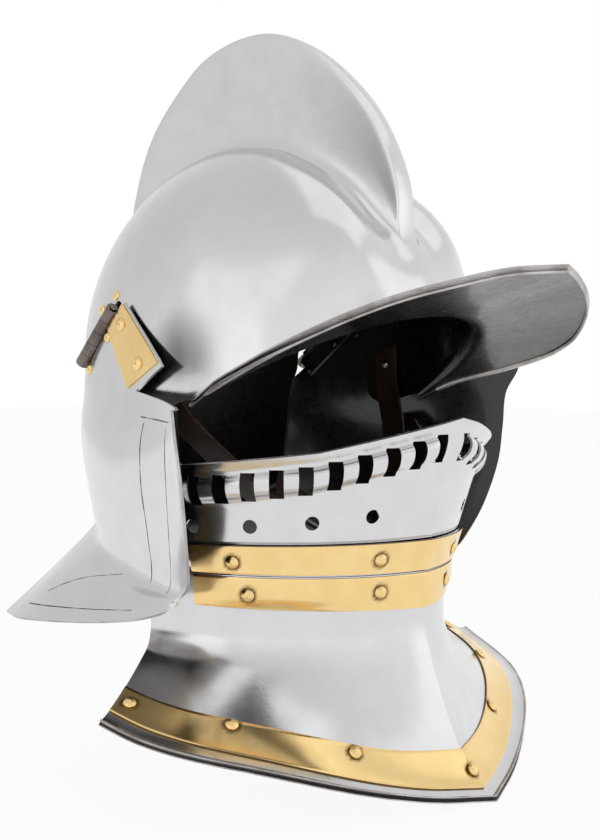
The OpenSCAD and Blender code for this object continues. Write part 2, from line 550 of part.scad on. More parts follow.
// Below the lames the sides of the neck draw in towards the throat
function neck_pinch(q, z) = 4.5 * ease((-117 - z) / 12) * hill((abs(q) - 0.5) / 0.5);
function neck_point(q, z) = lame_point(q, collar_keel(z), z, -neck_pinch(q, z));
collar_grid = concat([for (p = gorget_shares) [for (q = cols_88) gorget_point(q, p)]],
  [for (t = neck_shares) [for (q = cols_88) neck_point(q, mix(throat_z(q) + 2, collar_low(q), t))]],
  [for (k = [0 : 10]) [for (q = cols_88) neck_point(q, collar_level(q, k))]]);
collar_roll = [1, 1.5, 0.8, 0];
function collar_bead(i) = i < 4 ? collar_roll[i] - 0.3 : 0;
collar_out = [for (i = [0 : len(collar_grid) - 1]) [for (q = cols_88) max(0, collar_bead(i))]];
collar_in = [for (i = [0 : len(collar_grid) - 1]) [for (q = cols_88) -lame_t - max(0, collar_bead(i))]];
collar_band_grid = [for (k = [0 : 4]) [for (q = band_cols) neck_point(q, collar_level(q, k))]];
gorget_band_grid = [for (p = [0.83, 0.68, 0.52]) [for (q = cols_88) gorget_point(q, p)]];
collar_band_spots = both([[2.7, 2.28], [2.7, 7.7]], band_mid);
gorget_mid = (len(cols_88) - 1) / 2;
gorget_spots = both([[1.6, 3.8], [1.7, 7.9], [1.1, 11.7]], gorget_mid);
keel_spot = [1.1, gorget_mid];
module on_keel(lift) {
  left = grid_normal(gorget_band_grid, keel_spot[0], keel_spot[1] - 0.5);
  right = grid_normal(gorget_band_grid, keel_spot[0], keel_spot[1] + 0.5);
  n = unit(left + right);
  at(grid_point(gorget_band_grid, keel_spot[0], keel_spot[1]) + n * lift, n) children();
}
module collar_plate() {
  color(steel) difference() {
    shell(offset_grid(collar_grid, collar_out), offset_grid(collar_grid, collar_in));
    above_edge(collar_level_at(ear_front), collar_fall);
    band_drills(collar_band_grid, collar_band_spots);
    band_drills(gorget_band_grid, gorget_spots);
    on_keel(0) drill(band_shank_d);
    pivot_hole();
    nape_drill();
  }
}
module collar_band() {
  color(brass) difference() {
    band(collar_band_grid);
    band_drills(collar_band_grid, collar_band_spots);
  }
}
module collar_rivets() { color(brass) band_rivets(collar_band_grid, collar_band_spots); }
module gorget_band() {
  color(brass) difference() {
    band(gorget_band_grid);
    band_drills(gorget_band_grid, gorget_spots);
    on_keel(0) drill(band_shank_d);
  }
}
gorget_lift = 0.35;
module gorget_rivets() {
  color(brass) {
    band_rivets(gorget_band_grid, gorget_spots, true, gorget_lift);
    on_keel(band_gap + brass_t + 1.3 * gorget_lift)
      rivet(band_rivet_d, 2.2, band_shank_d, band_gap + brass_t + lame_t + keel_grip);
  }
}

// Pivots of the face plate, under the cheekpieces
pivot_side = 115.7;
module pivot_rivet() {
  at(world([-pivot_side, pivot_f, pivot_z]), [-1, 0, 0]) rivet(8, 1.8, pivot_d, 6.8);
}
module pivot_rivet_right() { color(steel) pivot_rivet(); }
module pivot_rivet_left() { color(steel) mirror([1, 0, 0]) pivot_rivet(); }

// Straps: a band of leather along a route
strap_w = 17;
strap_t = 2.2;
strap_shank_d = 3;
module ribbon(rows, thick) {
  shell(offset_grid(rows, thick / 2), offset_grid(rows, -thick / 2));
}
chin_route = [[-97.2, 9, 14], [-97.3, 9, 2], [-96.5, 10, -9], [-93.5, 15, -22], [-85.5, 24, -36],
  [-74.8, 33, -50], [-62, 42, -66], [-46, 51, -81], [-28, 57, -92], [-9, 60, -97]];
chin_line = refine([for (p = chin_route) world(p)], 2);
chin_across = [0, -0.96, 0.28];
chin_rows = [for (k = [-0.5, 0, 0.5]) [for (p = chin_line) p - chin_across * k * strap_w]];
module chin_strap() {
  difference() {
    ribbon(chin_rows, strap_t);
    on_chin() drill(strap_shank_d);
  }
}
chin_rivet_point = world([-101.75, 9, 4]);
module on_chin() { at(chin_rivet_point, [-1, 0, 0.03]) children(); }
module chin_rivet() { on_chin() rivet(7, 1.3, strap_shank_d, sheet_t + strap_t + 2.15); }
module chin_strap_right() { color(leather) chin_strap(); }
module chin_strap_left() { color(leather) mirror([1, 0, 0]) chin_strap(); }
module chin_strap_rivets() {
  color(steel) for (s = [0, 1]) mirror([s, 0, 0]) chin_rivet();
}
module frame(w, h, bar, thick) {
  linear_extrude(thick, center = true) difference() {
    square([w, h], center = true);
    for (s = [-1, 1]) translate([s * (w - bar) / 4, 0])
      square([(w - 3 * bar) / 2, h - 2 * bar], center = true);
  }
}
module chin_buckle() {
  color(steel) translate(world([0, 60.3, -97.6])) rotate([16, 0, 0]) frame(17, 25, 2.6, 2.4);
}

// Nape strap: round the back of the bowl, to the rear edges of the collar
nape_side = [[103.2, 9, -120.5], [102.6, -6, -116.5], [97.4, -26, -107.5], [90, -44, -96.5],
  [82, -59, -86.5], [73.5, -71, -79]];
nape_tilt = 208;
nape_half = 4.3;
function nape_back(side, k) = let (tilt = nape_tilt - k * nape_half, r = reach_side(side, tilt) + 1.9)
  place(r * sin(side), r * cos(side), tilt);
function nape_left(k) = [for (p = refine(nape_side, 2)) world([p[0], p[1], p[2] + 8 * k])];
function flip(p) = [-p[0], p[1], p[2]];
function back_first(l) = [for (i = [len(l) - 1 : -1 : 0]) l[i]];
nape_rows = [for (k = [-1, 0, 1]) concat(nape_left(k), [for (a = [40 : -8 : -40]) nape_back(a, k)],
  back_first([for (p = nape_left(k)) flip(p)]))];
function nape_end(s) = world([s * 104.75, 9, -120.5]);
module nape_rivet(s) {
  at(nape_end(s), [s, 0.08, 0]) rivet(7, 1.6, strap_shank_d, strap_t + lame_t + 2.6);
}
module nape_drill() {
  for (s = [-1, 1]) at(nape_end(s), [s, 0.08, 0]) drill(strap_shank_d);
}
module nape_strap() {
  color(leather) difference() {
    ribbon(nape_rows, strap_t);
    nape_drill();
  }
}
module nape_rivets() { color(steel) for (s = [-1, 1]) nape_rivet(s); }
nape_buckle_side = 16;
module nape_buckle() {
  p = nape_back(nape_buckle_side, 0);
  r = nape_back(nape_buckle_side + 1, 0) - p;
  u = nape_back(nape_buckle_side, 1) - p;
  n = unit(cross(u, r));
  color(steel) at(p + n * (strap_t / 2 + 1.7), n)
    rotate([0, 0, 90]) frame(24, 24, 2.6, 2.2);
}

skull();
cheek_right();
cheek_left();
arm_plate_right();
arm_plate_left();
hinge_leaf_bowl_right();
hinge_leaf_bowl_left();
hinge_leaf_cheek_right();
hinge_leaf_cheek_left();
hinge_pin_right();
hinge_pin_left();
bowl_leaf_rivets_right();
bowl_leaf_rivets_left();
cheek_leaf_rivets_right();
cheek_leaf_rivets_left();
arm_plate_rivets_right();
arm_plate_rivets_left();
face_plate();
middle_lame();
middle_lame_band();
middle_lame_rivets();
collar_plate();
collar_band();
collar_rivets();
gorget_band();
gorget_rivets();
pivot_rivet_right();
pivot_rivet_left();
chin_strap_right();
chin_strap_left();
chin_strap_rivets();
chin_buckle();
nape_strap();
nape_rivets();
nape_buckle();
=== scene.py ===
import json
import math

import bpy
import numpy as np
from mathutils import Matrix, Vector

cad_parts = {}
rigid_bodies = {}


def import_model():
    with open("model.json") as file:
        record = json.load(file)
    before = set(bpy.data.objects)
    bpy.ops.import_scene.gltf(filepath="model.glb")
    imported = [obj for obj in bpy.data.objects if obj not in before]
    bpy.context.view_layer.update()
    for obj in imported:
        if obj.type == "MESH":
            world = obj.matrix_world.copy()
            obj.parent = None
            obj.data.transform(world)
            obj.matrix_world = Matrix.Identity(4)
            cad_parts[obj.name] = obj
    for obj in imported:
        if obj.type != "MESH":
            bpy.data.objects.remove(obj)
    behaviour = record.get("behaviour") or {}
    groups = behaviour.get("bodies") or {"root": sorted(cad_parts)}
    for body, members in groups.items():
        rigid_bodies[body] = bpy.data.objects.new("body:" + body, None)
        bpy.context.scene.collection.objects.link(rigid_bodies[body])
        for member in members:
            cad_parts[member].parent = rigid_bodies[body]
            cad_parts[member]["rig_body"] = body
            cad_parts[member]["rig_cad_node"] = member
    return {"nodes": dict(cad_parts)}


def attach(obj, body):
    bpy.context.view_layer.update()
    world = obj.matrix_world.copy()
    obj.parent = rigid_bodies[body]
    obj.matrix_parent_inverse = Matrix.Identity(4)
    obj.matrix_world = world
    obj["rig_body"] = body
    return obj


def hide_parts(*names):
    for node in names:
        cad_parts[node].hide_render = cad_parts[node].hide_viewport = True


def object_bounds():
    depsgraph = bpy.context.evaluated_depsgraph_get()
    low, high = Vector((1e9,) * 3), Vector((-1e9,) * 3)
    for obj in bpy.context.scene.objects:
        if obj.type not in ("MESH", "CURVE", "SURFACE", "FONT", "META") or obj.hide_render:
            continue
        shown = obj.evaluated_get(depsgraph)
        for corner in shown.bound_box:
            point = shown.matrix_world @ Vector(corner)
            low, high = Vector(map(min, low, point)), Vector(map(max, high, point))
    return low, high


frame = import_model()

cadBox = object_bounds()
nodes = frame["nodes"]
mm = 0.001
print("frame loaded:", len(nodes), "nodes")


# camera, as the photograph was taken
view = {"place": (-0.5692, -0.5335, 0.0), "turn": (87.8, 0, -48), "lens": 55.714}
bpy.ops.object.camera_add(location=view["place"], rotation=[math.radians(a) for a in view["turn"]])
camera = bpy.context.object
camera.name = "photoCamera"
camera.data.lens = view["lens"]
camera.data.sensor_width = 36
bpy.context.scene.camera = camera
bpy.context.scene.view_settings.view_transform = "Standard"


# materials
def newGroup(name, numbers, vectors, outputs):
    group = bpy.data.node_groups.new(name, "ShaderNodeTree")
    for label, value in numbers.items():
        socket = group.interface.new_socket(label, in_out="INPUT", socket_type="NodeSocketFloat")
        socket.default_value = value
    for label in vectors:
        group.interface.new_socket(label, in_out="INPUT", socket_type="NodeSocketVector")
    for label in outputs:
        group.interface.new_socket(label, in_out="OUTPUT", socket_type="NodeSocketFloat")
    return group, group.nodes.new("NodeGroupInput"), group.nodes.new("NodeGroupOutput")


def node(tree, kind, **settings):
    made = tree.nodes.new(kind)
    for key, value in settings.items():
        if key in made.inputs:
            made.inputs[key].default_value = value
        else:
            setattr(made, key, value)
    return made


def feed(tree, socket, value):
    # a socket takes a link from another one, or a plain value
    if hasattr(value, "links"):
        tree.links.new(value, socket)
    else:
        socket.default_value = value


def calc(tree, operation, a, b):
    made = node(tree, "ShaderNodeMath", operation=operation)
    feed(tree, made.inputs[0], a)
    feed(tree, made.inputs[1], b)
    return made.outputs[0]


def vectorCalc(tree, operation, a, b, output="Vector"):
    made = node(tree, "ShaderNodeVectorMath", operation=operation)
    feed(tree, made.inputs[0], a)
    feed(tree, made.inputs[1], b)
    return made.outputs[output]


def ramp(tree, source, low, high, toLow=0.0, toHigh=1.0):
    made = node(tree, "ShaderNodeMapRange")
    labels = ("Value", "From Min", "From Max", "To Min", "To Max")
    for label, value in zip(labels, (source, low, high, toLow, toHigh)):
        feed(tree, made.inputs[label], value)
    return made.outputs[0]


def blendColours(tree, share, first, second):
    # a colour mix has its factor at 0, its colours at 6 and 7 and its result at 2
    made = node(tree, "ShaderNodeMix", data_type="RGBA")
    for index, value in ((0, share), (6, first), (7, second)):
        feed(tree, made.inputs[index], value)
    return made.outputs[2]


def coordinates(tree, kind="Object"):
    return tree.nodes.new("ShaderNodeTexCoord").outputs[kind]


def stretched(tree, place, scale):
    made = node(tree, "ShaderNodeMapping")
    made.inputs["Scale"].default_value = scale
    tree.links.new(place, made.inputs["Vector"])
    return made.outputs[0]


def noiseAt(tree, place, scale, detail):
    made = node(tree, "ShaderNodeTexNoise", Scale=scale, Detail=detail)
    tree.links.new(place, made.inputs["Vector"])
    return made.outputs["Fac"]


def addBump(tree, shader, height, strength, depth):
    bump = node(tree, "ShaderNodeBump", Strength=strength, Distance=depth)
    tree.links.new(height, bump.inputs["Height"])
    tree.links.new(bump.outputs[0], shader.inputs["Normal"])


# sizes of the marks in the polish: waves, clouds and lines that run across the height and across the side
polish = {"wave": 26, "cloud": 70, "lines": ((60, 60, 2600), (2400, 120, 90)), "cloudStart": 0.35, "cloudEnd": 0.75}


def makePolishGroup():
    # hammered waves under the polish, fine brush lines in two directions and cloudy wear
    group, given, out = newGroup("polishMarks", {"Wave": 0.5, "Lines": 0.5, "Cloud": 0.5}, (), ("Height", "Wear"))
    place = coordinates(group)
    wave = noiseAt(group, place, polish["wave"], 2)
    cloud = noiseAt(group, place, polish["cloud"], 5)
    lines = [noiseAt(group, stretched(group, place, size), 1, 3) for size in polish["lines"]]
    height = calc(group, "ADD", calc(group, "MULTIPLY", wave, given.outputs["Wave"]),
                  calc(group, "MULTIPLY", calc(group, "ADD", *lines), given.outputs["Lines"]))
    group.links.new(height, out.inputs["Height"])
    patch = ramp(group, cloud, polish["cloudStart"], polish["cloudEnd"])
    group.links.new(calc(group, "MULTIPLY", patch, given.outputs["Cloud"]), out.inputs["Wear"])
    return group


# scored lines into the cheekpiece, from and to a column and row of its net, each with its share of the width: two
# beside the front edge, one under the arm, two on the skirt
scores = {"lines": [((5.32, 1.9), (5.3, 5.35), 1.0), ((6.4, 1.6), (6.38, 5.3), 0.7), ((5.1, 5.5), (6.5, 5.42), 1.0),
                    ((1.7, 0.62), (3.9, 1.75), 0.9), ((1.2, 0.3), (5.6, 0.42), 0.8)],
          "spans": 8, "sheet": (150, 190), "width": 0.55, "colour": (0.10, 0.09, 0.09, 1), "deepAt": 0.5,
          "patch": 0.12, "thin": 0.35, "wide": 1.4}


def makeScoreGroup():
    # how near a point of the sheet lies to a line between two places, all on the sheet's own map in millimetres
    group, given, out = newGroup("scoredLine", {"Width": 0.3}, ("Place", "Start", "End"), ("Mask",))
    place, start, end = (given.outputs[label] for label in ("Place", "Start", "End"))
    along = vectorCalc(group, "SUBTRACT", end, start)
    offset = vectorCalc(group, "SUBTRACT", place, start)
    share = calc(group, "DIVIDE", vectorCalc(group, "DOT_PRODUCT", offset, along, "Value"),
                 vectorCalc(group, "DOT_PRODUCT", along, along, "Value"))
    clamp = node(group, "ShaderNodeClamp")
    group.links.new(share, clamp.inputs[0])
    nearest = node(group, "ShaderNodeVectorMath", operation="SCALE")
    group.links.new(along, nearest.inputs[0])
    group.links.new(clamp.outputs[0], nearest.inputs["Scale"])
    away = vectorCalc(group, "DISTANCE", offset, nearest.outputs[0], "Value")
    patch = ramp(group, noiseAt(group, place, scores["patch"], 4), 0.3, 0.7, scores["thin"], scores["wide"])
    width = calc(group, "MULTIPLY", given.outputs["Width"], patch)
    near = calc(group, "SUBTRACT", 1.0, calc(group, "DIVIDE", away, width))
    group.links.new(calc(group, "MAXIMUM", near, 0.0), out.inputs["Mask"])
    return group


polishGroup = makePolishGroup()
scoreGroup = makeScoreGroup()


def startMaterial(name, **sockets):
    material = bpy.data.materials.new(name)
    material.use_nodes = True
    shader = material.node_tree.nodes["Principled BSDF"]
    for label, value in sockets.items():
        shader.inputs[label.replace("_", " ")].default_value = value
    return material, material.node_tree, shader


def makeMetal(name, finish):
    material, tree, shader = startMaterial(name, Metallic=1.0)
    marks = tree.nodes.new("ShaderNodeGroup")
    marks.node_tree = polishGroup
    for label in ("Wave", "Lines", "Cloud"):
        marks.inputs[label].default_value = finish[label]
    wear = marks.outputs["Wear"]
    addBump(tree, shader, marks.outputs["Height"], finish["bump"], finish["depth"])
    tree.links.new(ramp(tree, wear, 0, 1, *finish["rough"]), shader.inputs["Roughness"])
    colour = blendColours(tree, wear, (*finish["colour"], 1), (*finish["worn"], 1))
    # painted shade: where the sheet carries a rivet shade attribute, its colour is darkened round the rivets
    if "rivetShade" in finish:
        ringShade = node(tree, "ShaderNodeAttribute", attribute_name="rivetShade")
        colour = blendColours(tree, ringShade.outputs["Fac"], colour, (*finish["rivetShade"], 1))
    tree.links.new(colour, shader.inputs["Base Color"])
    return material


def addScores(material):
    # dark scored lines over a metal
    tree = material.node_tree
    size = scores["sheet"]
    place = stretched(tree, coordinates(tree, "UV"), (*size, 0))
    total = None
    for start, end, share in scores["lines"]:
        line = tree.nodes.new("ShaderNodeGroup")
        line.node_tree = scoreGroup
        for label, spot in (("Start", start), ("End", end)):
            line.inputs[label].default_value = (*(s / scores["spans"] * length for s, length in zip(spot, size)), 0)
        line.inputs["Width"].default_value = scores["width"] * share
        tree.links.new(place, line.inputs["Place"])
        total = line.outputs[0] if total is None else calc(tree, "MAXIMUM", total, line.outputs[0])
    colour = tree.nodes["Principled BSDF"].inputs["Base Color"]
    plain = colour.links[0].from_socket
    tree.links.new(blendColours(tree, ramp(tree, total, 0, scores["deepAt"]), plain, scores["colour"]), colour)
    height = tree.nodes["Bump"].inputs["Height"]
    tree.links.new(calc(tree, "SUBTRACT", height.links[0].from_socket, total), height)


steelFinish = {"Wave": 0.55, "Lines": 0.10, "Cloud": 0.5, "bump": 0.25, "depth": 0.0006,
               "rough": (0.16, 0.28), "colour": (0.74, 0.74, 0.75), "worn": (0.67, 0.67, 0.69)}
brassFinish = {"Wave": 0.8, "Lines": 0.10, "Cloud": 0.6, "bump": 0.22, "depth": 0.0006,
               "rough": (0.15, 0.27), "colour": (0.96, 0.71, 0.33), "worn": (0.88, 0.60, 0.25)}
edgeFinish = {"Wave": 0.3, "Lines": 0.9, "Cloud": 1.0, "bump": 0.8, "depth": 0.0004,
              "rough": (0.38, 0.6), "colour": (0.66, 0.64, 0.63), "worn": (0.36, 0.33, 0.32)}
hingeFinish = {"Wave": 0.4, "Lines": 0.2, "Cloud": 1.0, "bump": 0.3, "depth": 0.0005,
               "rough": (0.22, 0.4), "colour": (0.22, 0.19, 0.17), "worn": (0.12, 0.09, 0.08)}
polishedSteel = makeMetal("polishedSteel", steelFinish)
scoredSteel = makeMetal("scoredSteel", steelFinish)
addScores(scoredSteel)
# brass darkened for the rims of the brass sheets: painted shade, standing in for the shadow line along the edges of
# the bands and arm plates
shadedBrassRim = makeMetal("shadedBrassRim", {**brassFinish, "colour": (0.30, 0.19, 0.07), "worn": (0.2, 0.12, 0.05)})
# the brass sheets carry a painted shade ring round each of their rivets
brassSheet = makeMetal("brassSheet", {**brassFinish, "rivetShade": (0.12, 0.07, 0.03)})
brassRivet = makeMetal("brassRivet", {**brassFinish, "rough": (0.2, 0.32)})
groundEdge = makeMetal("groundEdge", edgeFinish)
hingeSteel = makeMetal("hingeSteel", hingeFinish)
plainSteel = makeMetal("plainSteel", {**steelFinish, "colour": (0.48, 0.48, 0.49), "worn": (0.40, 0.40, 0.41)})

paintFinish = {"colour": (0.006, 0.006, 0.007, 1), "coat": 0.35, "coatRough": 0.12, "grain": 180, "bump": 0.25,
               "depth": 0.0006, "rough": (0.24, 0.36)}
leatherFinish = {"grain": 900, "fold": 120, "bump": 0.5, "depth": 0.0005, "rough": (0.42, 0.6),
                 "dark": (0.022, 0.009, 0.005, 1), "light": (0.05, 0.022, 0.012, 1)}


def makePaint():
    finish = paintFinish
    material, tree, shader = startMaterial("blackPaint", Base_Color=finish["colour"], Metallic=0.0)
    shader.inputs["Coat Weight"].default_value = finish["coat"]
    shader.inputs["Coat Roughness"].default_value = finish["coatRough"]
    grain = noiseAt(tree, coordinates(tree), finish["grain"], 3)
    addBump(tree, shader, grain, finish["bump"], finish["depth"])
    tree.links.new(ramp(tree, grain, 0.3, 0.7, *finish["rough"]), shader.inputs["Roughness"])
    return material


def makeLeather():
    finish = leatherFinish
    material, tree, shader = startMaterial("brownLeather", Metallic=0.0)
    place = coordinates(tree)
    grain = node(tree, "ShaderNodeTexVoronoi", Scale=finish["grain"])
    tree.links.new(place, grain.inputs["Vector"])
    fold = noiseAt(tree, place, finish["fold"], 6)
    height = calc(tree, "ADD", calc(tree, "MULTIPLY", grain.outputs["Distance"], 0.5), fold)
    addBump(tree, shader, height, finish["bump"], finish["depth"])
    colour = blendColours(tree, ramp(tree, fold, 0.35, 0.7), finish["dark"], finish["light"])
    tree.links.new(colour, shader.inputs["Base Color"])
    tree.links.new(ramp(tree, fold, 0.3, 0.7, *finish["rough"]), shader.inputs["Roughness"])
    return material


blackPaint = makePaint()
brownLeather = makeLeather()
print("materials ready")


# helpers for shaping sheets, in millimetres: side, forward, up
def ease(t):
    t = np.clip(t, 0, 1)
    return t * t * (3 - 2 * t)


def hill(t):
    return ease(1 - np.abs(t))


def mix(a, b, t):
    return a + (b - a) * t


def sind(a):
    return np.sin(np.radians(a))


def cosd(a):
    return np.cos(np.radians(a))


def straightAt(pairs, x):
    spots, values = np.array(pairs, float).T
    return np.interp(x, spots, values)


def smoothAt(pairs, x):
    # cubic curve through the pairs, so that no kink shows in the polish
    spots, values = np.array(pairs, float).T
    slopes = np.gradient(values, spots)
    x = np.clip(x, spots[0], spots[-1])
    i = np.clip(np.searchsorted(spots, x) - 1, 0, len(spots) - 2)
    step = spots[i + 1] - spots[i]
    t = (x - spots[i]) / step
    return ((2 * t**3 - 3 * t**2 + 1) * values[i] + (t**3 - 2 * t**2 + t) * step * slopes[i]
            + (3 * t**2 - 2 * t**3) * values[i + 1] + (t**3 - t**2) * step * slopes[i + 1])


def curveAt(keys, u):
    # smooth curve through key points, with u counting the points
    keys = np.array(keys, float)
    padded = np.concatenate([[2 * keys[0] - keys[1]], keys, [2 * keys[-1] - keys[-2]]])
    u = np.asarray(u, float)
    i = np.clip(np.floor(u).astype(int), 0, len(keys) - 2)
    t = (u - i).reshape(u.shape + (1,) * (keys.ndim - 1))
    p, q, r, s = (padded[i + k] for k in range(4))
    return 0.5 * (2 * q + (r - p) * t + (2 * p - 5 * q + 4 * r - s) * t**2 + (3 * q - p - 3 * r + s) * t**3)


def world(side, forward, up):
    return np.stack(np.broadcast_arrays(side, -np.asarray(forward), up), axis=-1)


def select(thing):
    bpy.ops.object.select_all(action="DESELECT")
    thing.select_set(True)
    bpy.context.view_layer.objects.active = thing


def applyModifier(thing, kind, **settings):
    select(thing)
    modifier = thing.modifiers.new(kind, kind)
    for key, value in settings.items():
        setattr(modifier, key, value)
    bpy.ops.object.modifier_apply(modifier=modifier.name)


def layGrid(name, points):
    # a grid primitive whose points are laid on the shape: rows run up, columns run to the right seen from outside
    rows, cols = points.shape[:2]
    bpy.ops.object.select_all(action="DESELECT")
    bpy.ops.mesh.primitive_grid_add(x_subdivisions=cols - 1, y_subdivisions=rows - 1, size=2)
    sheet = bpy.context.object
    sheet.name = sheet.data.name = name
    flat = np.zeros(len(sheet.data.vertices) * 3)
    sheet.data.vertices.foreach_get("co", flat)
    flat = flat.reshape(-1, 3)
    j = np.rint((flat[:, 0] + 1) / 2 * (cols - 1)).astype(int)
    i = np.rint((flat[:, 1] + 1) / 2 * (rows - 1)).astype(int)
    sheet.data.vertices.foreach_set("co", (points[i, j] * mm).ravel())
    sheet.data.update()
    return sheet, (i, j)


def pushOut(points, by):
    rowsWay = np.gradient(points, axis=0)
    colsWay = np.gradient(points, axis=1)
    out = np.cross(colsWay, rowsWay)
    out /= np.linalg.norm(out, axis=-1, keepdims=True)
    return points + out * np.asarray(by)[..., None]


rolledShare = 0.35  # of the swelling, from which on a rolled edge is ground bright on both faces


def makeSheet(name, points, thick, materials, bead=None):
    # bead is how far each point swells to both sides, as at a rolled edge
    swell = np.zeros(points.shape[:2]) if bead is None else bead
    sheet, (i, j) = layGrid(name, pushOut(points, swell))
    full = thick + 2 * swell.max()
    group = sheet.vertex_groups.new(name="thickness")
    weights = (thick + 2 * swell[i, j]) / full
    for index, weight in enumerate(weights):
        group.add([index], float(weight), "REPLACE")
    for material in materials:
        sheet.data.materials.append(material)
    applyModifier(sheet, "SOLIDIFY", thickness=full * mm, offset=-1, vertex_group="thickness",
                  use_quality_normals=True, material_offset=1, material_offset_rim=min(2, len(materials) - 1))
    if bead is not None:
        rolled = swell[i, j] > rolledShare * swell.max()
        for face in sheet.data.polygons:
            if all(rolled[v % len(rolled)] for v in face.vertices):
                face.material_index = 2
    return sheet


def soften(thing, width, segments=2, angle=55):
    applyModifier(thing, "BEVEL", width=width * mm, segments=segments, limit_method="ANGLE",
                  angle_limit=math.radians(angle))


def smooth(thing, angle=35):
    select(thing)
    bpy.ops.object.shade_smooth_by_angle(angle=math.radians(angle))


def cutWith(thing, cutter, operation="DIFFERENCE"):
    applyModifier(thing, "BOOLEAN", object=cutter, operation=operation, solver="EXACT")
    bpy.data.objects.remove(cutter)


def prism(name, outline, place, depth):
    # outline in the X, Z plane of place, extruded both ways along its Y
    outline = np.array(outline, float)
    count = len(outline)
    points = [(x * mm, y * depth / 2 * mm, z * mm) for y in (-1, 1) for x, z in outline]
    walls = [(i, (i + 1) % count, count + (i + 1) % count, count + i) for i in range(count)]
    mesh = bpy.data.meshes.new(name)
    mesh.from_pydata(points, [], [tuple(range(count))[::-1], tuple(range(count, 2 * count)), *walls])
    cutter = bpy.data.objects.new(name, mesh)
    bpy.context.scene.collection.objects.link(cutter)
    mesh.transform(place)
    select(cutter)
    bpy.ops.object.mode_set(mode="EDIT")
    bpy.ops.mesh.select_all(action="SELECT")
    bpy.ops.mesh.normals_make_consistent(inside=False)
    bpy.ops.object.mode_set(mode="OBJECT")
    return cutter


def hold(thing, body, slotName, *replaced):
    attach(thing, body)
    if replaced:
        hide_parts(*replaced)
    return thing


def flipSide(points):
    # the same sheet on the wearer's other side
    return (points * (-1, 1, 1))[:, ::-1]


sheetLook = [polishedSteel, blackPaint, groundEdge]


# skull: bowl, comb, peak and nape in one sheet
bowl = {"halfWide": 102, "halfLong": 123, "halfHigh": 136, "sheet": 1.5, "combTop": 197.85, "crest": 6.6,
        "roll": 4.6, "rollWide": 5, "rollShare": 0.22, "rollFade": 14, "rayForward": -15, "rayUp": -40,
        "front": 26.5, "nape": 218, "napeOut": 23.7, "napeDown": 40, "valley": 12.5, "valleyEnd": 30,
        "drawnRise": 62, "combFront": 41, "combRear": 200}
# two wide swellings of the side: height, then middle and reach in degrees of tilt and in millimetres of side
bowlSwells = [(7.6, 46, 25, 46, 34), (2.4, 128, 48, 64, 52)]
crestKeys = [(41, 157), (46, 165), (51.3, 181), (61.4, 203), (69.8, 218), (79, 232.5), (88.1, 240.8),
             (98.6, 236.5), (106.4, 224), (115.3, 207.5), (124.3, 184), (134.7, 158.5), (148.2, 136),
             (165, 118), (185.3, 104), (200, 95)]
dipKeys = [(27, 0), (36, 0.5), (44, 4), (50, 7.5), (60, 9), (70, 9), (82, 5), (95, 2.5), (120, 1.5),
           (150, 1), (190, 0)]
edgeKeys = [(26.5, 59.5), (33.7, 70.3), (45, 75.5), (56, 76.5), (68, 76.5), (77, 74), (85, 61), (93, 56),
            (96, 53), (100.4, 49.8), (106.5, 51), (118.5, 52), (130, 51.8), (138, 55), (148, 56.2),
            (164, 58.2), (186, 58.5), (208, 54), (218, 49)]
rimKeys = [(0, 201, 51.5), (32, 188, 48.8), (62, 176, 42), (86, 163, 35), (105, 148.5, 26.5),
           (117, 133.5, 18.2), (121.5, 114, 10), (115, 86, 1.5), (104.5, 57, -6.5), (99.5, 32, -18)]


def rootOf(a, b, c):
    return (-b + np.sqrt(np.maximum(0, b * b - 4 * a * c))) / (2 * a)


def bowlTerms(tilt):
    c, s = cosd(tilt), sind(tilt)
    lengthSq, heightSq = bowl["halfLong"]**2, bowl["halfHigh"]**2
    a = c * c / lengthSq + s * s / heightSq
    b = 2 * (bowl["rayForward"] * c / lengthSq + bowl["rayUp"] * s / heightSq)
    return a, b, bowl["rayForward"]**2 / lengthSq + bowl["rayUp"]**2 / heightSq - 1


def reachX(x, tilt):
    a, b, c = bowlTerms(tilt)
    return rootOf(a, b, c + (x / bowl["halfWide"])**2)


def reachSide(side, tilt):
    a, b, c = bowlTerms(tilt)
    return rootOf((sind(side) / bowl["halfWide"])**2 + cosd(side)**2 * a, cosd(side) * b, c)


def dip(x, tilt):
    return smoothAt(dipKeys, tilt) * (1 - ease((np.abs(x) - bowl["valley"]) / bowl["valleyEnd"]))


def sideSwell(x, tilt):
    return sum(high * hill((tilt - middle) / reach) * hill((np.abs(x) - side) / wide)
               for high, middle, reach, side, wide in bowlSwells)


crestSpots = curveAt(crestKeys, np.linspace(0, len(crestKeys) - 1, 90))
combGain = (bowl["combTop"] - bowl["halfHigh"]) / bowl["drawnRise"]


def combRise(tilt):
    if tilt < bowl["combFront"] or tilt > bowl["combRear"]:
        return 0.0
    top = np.interp(tilt, crestSpots[:, 0], crestSpots[:, 1])
    return max(0.0, float(top - reachX(0, tilt) + dip(0, tilt))) * combGain


crest = bowl["crest"]
# across the comb: the rolled crest, its flank and the valley beside it, as side and share of the rise
combKeys = [(-(crest - 1.6), 0.985), (0, 1), (crest - 1.6, 0.985), (crest, 0.93), (crest + 1, 0.5),
            (crest + 2.8, 0.13), (bowl["valley"], 0)]
combProfile = curveAt(combKeys, np.linspace(1, len(combKeys) - 1, 26))
sideShares = np.linspace(0, 1, 45)[1:]


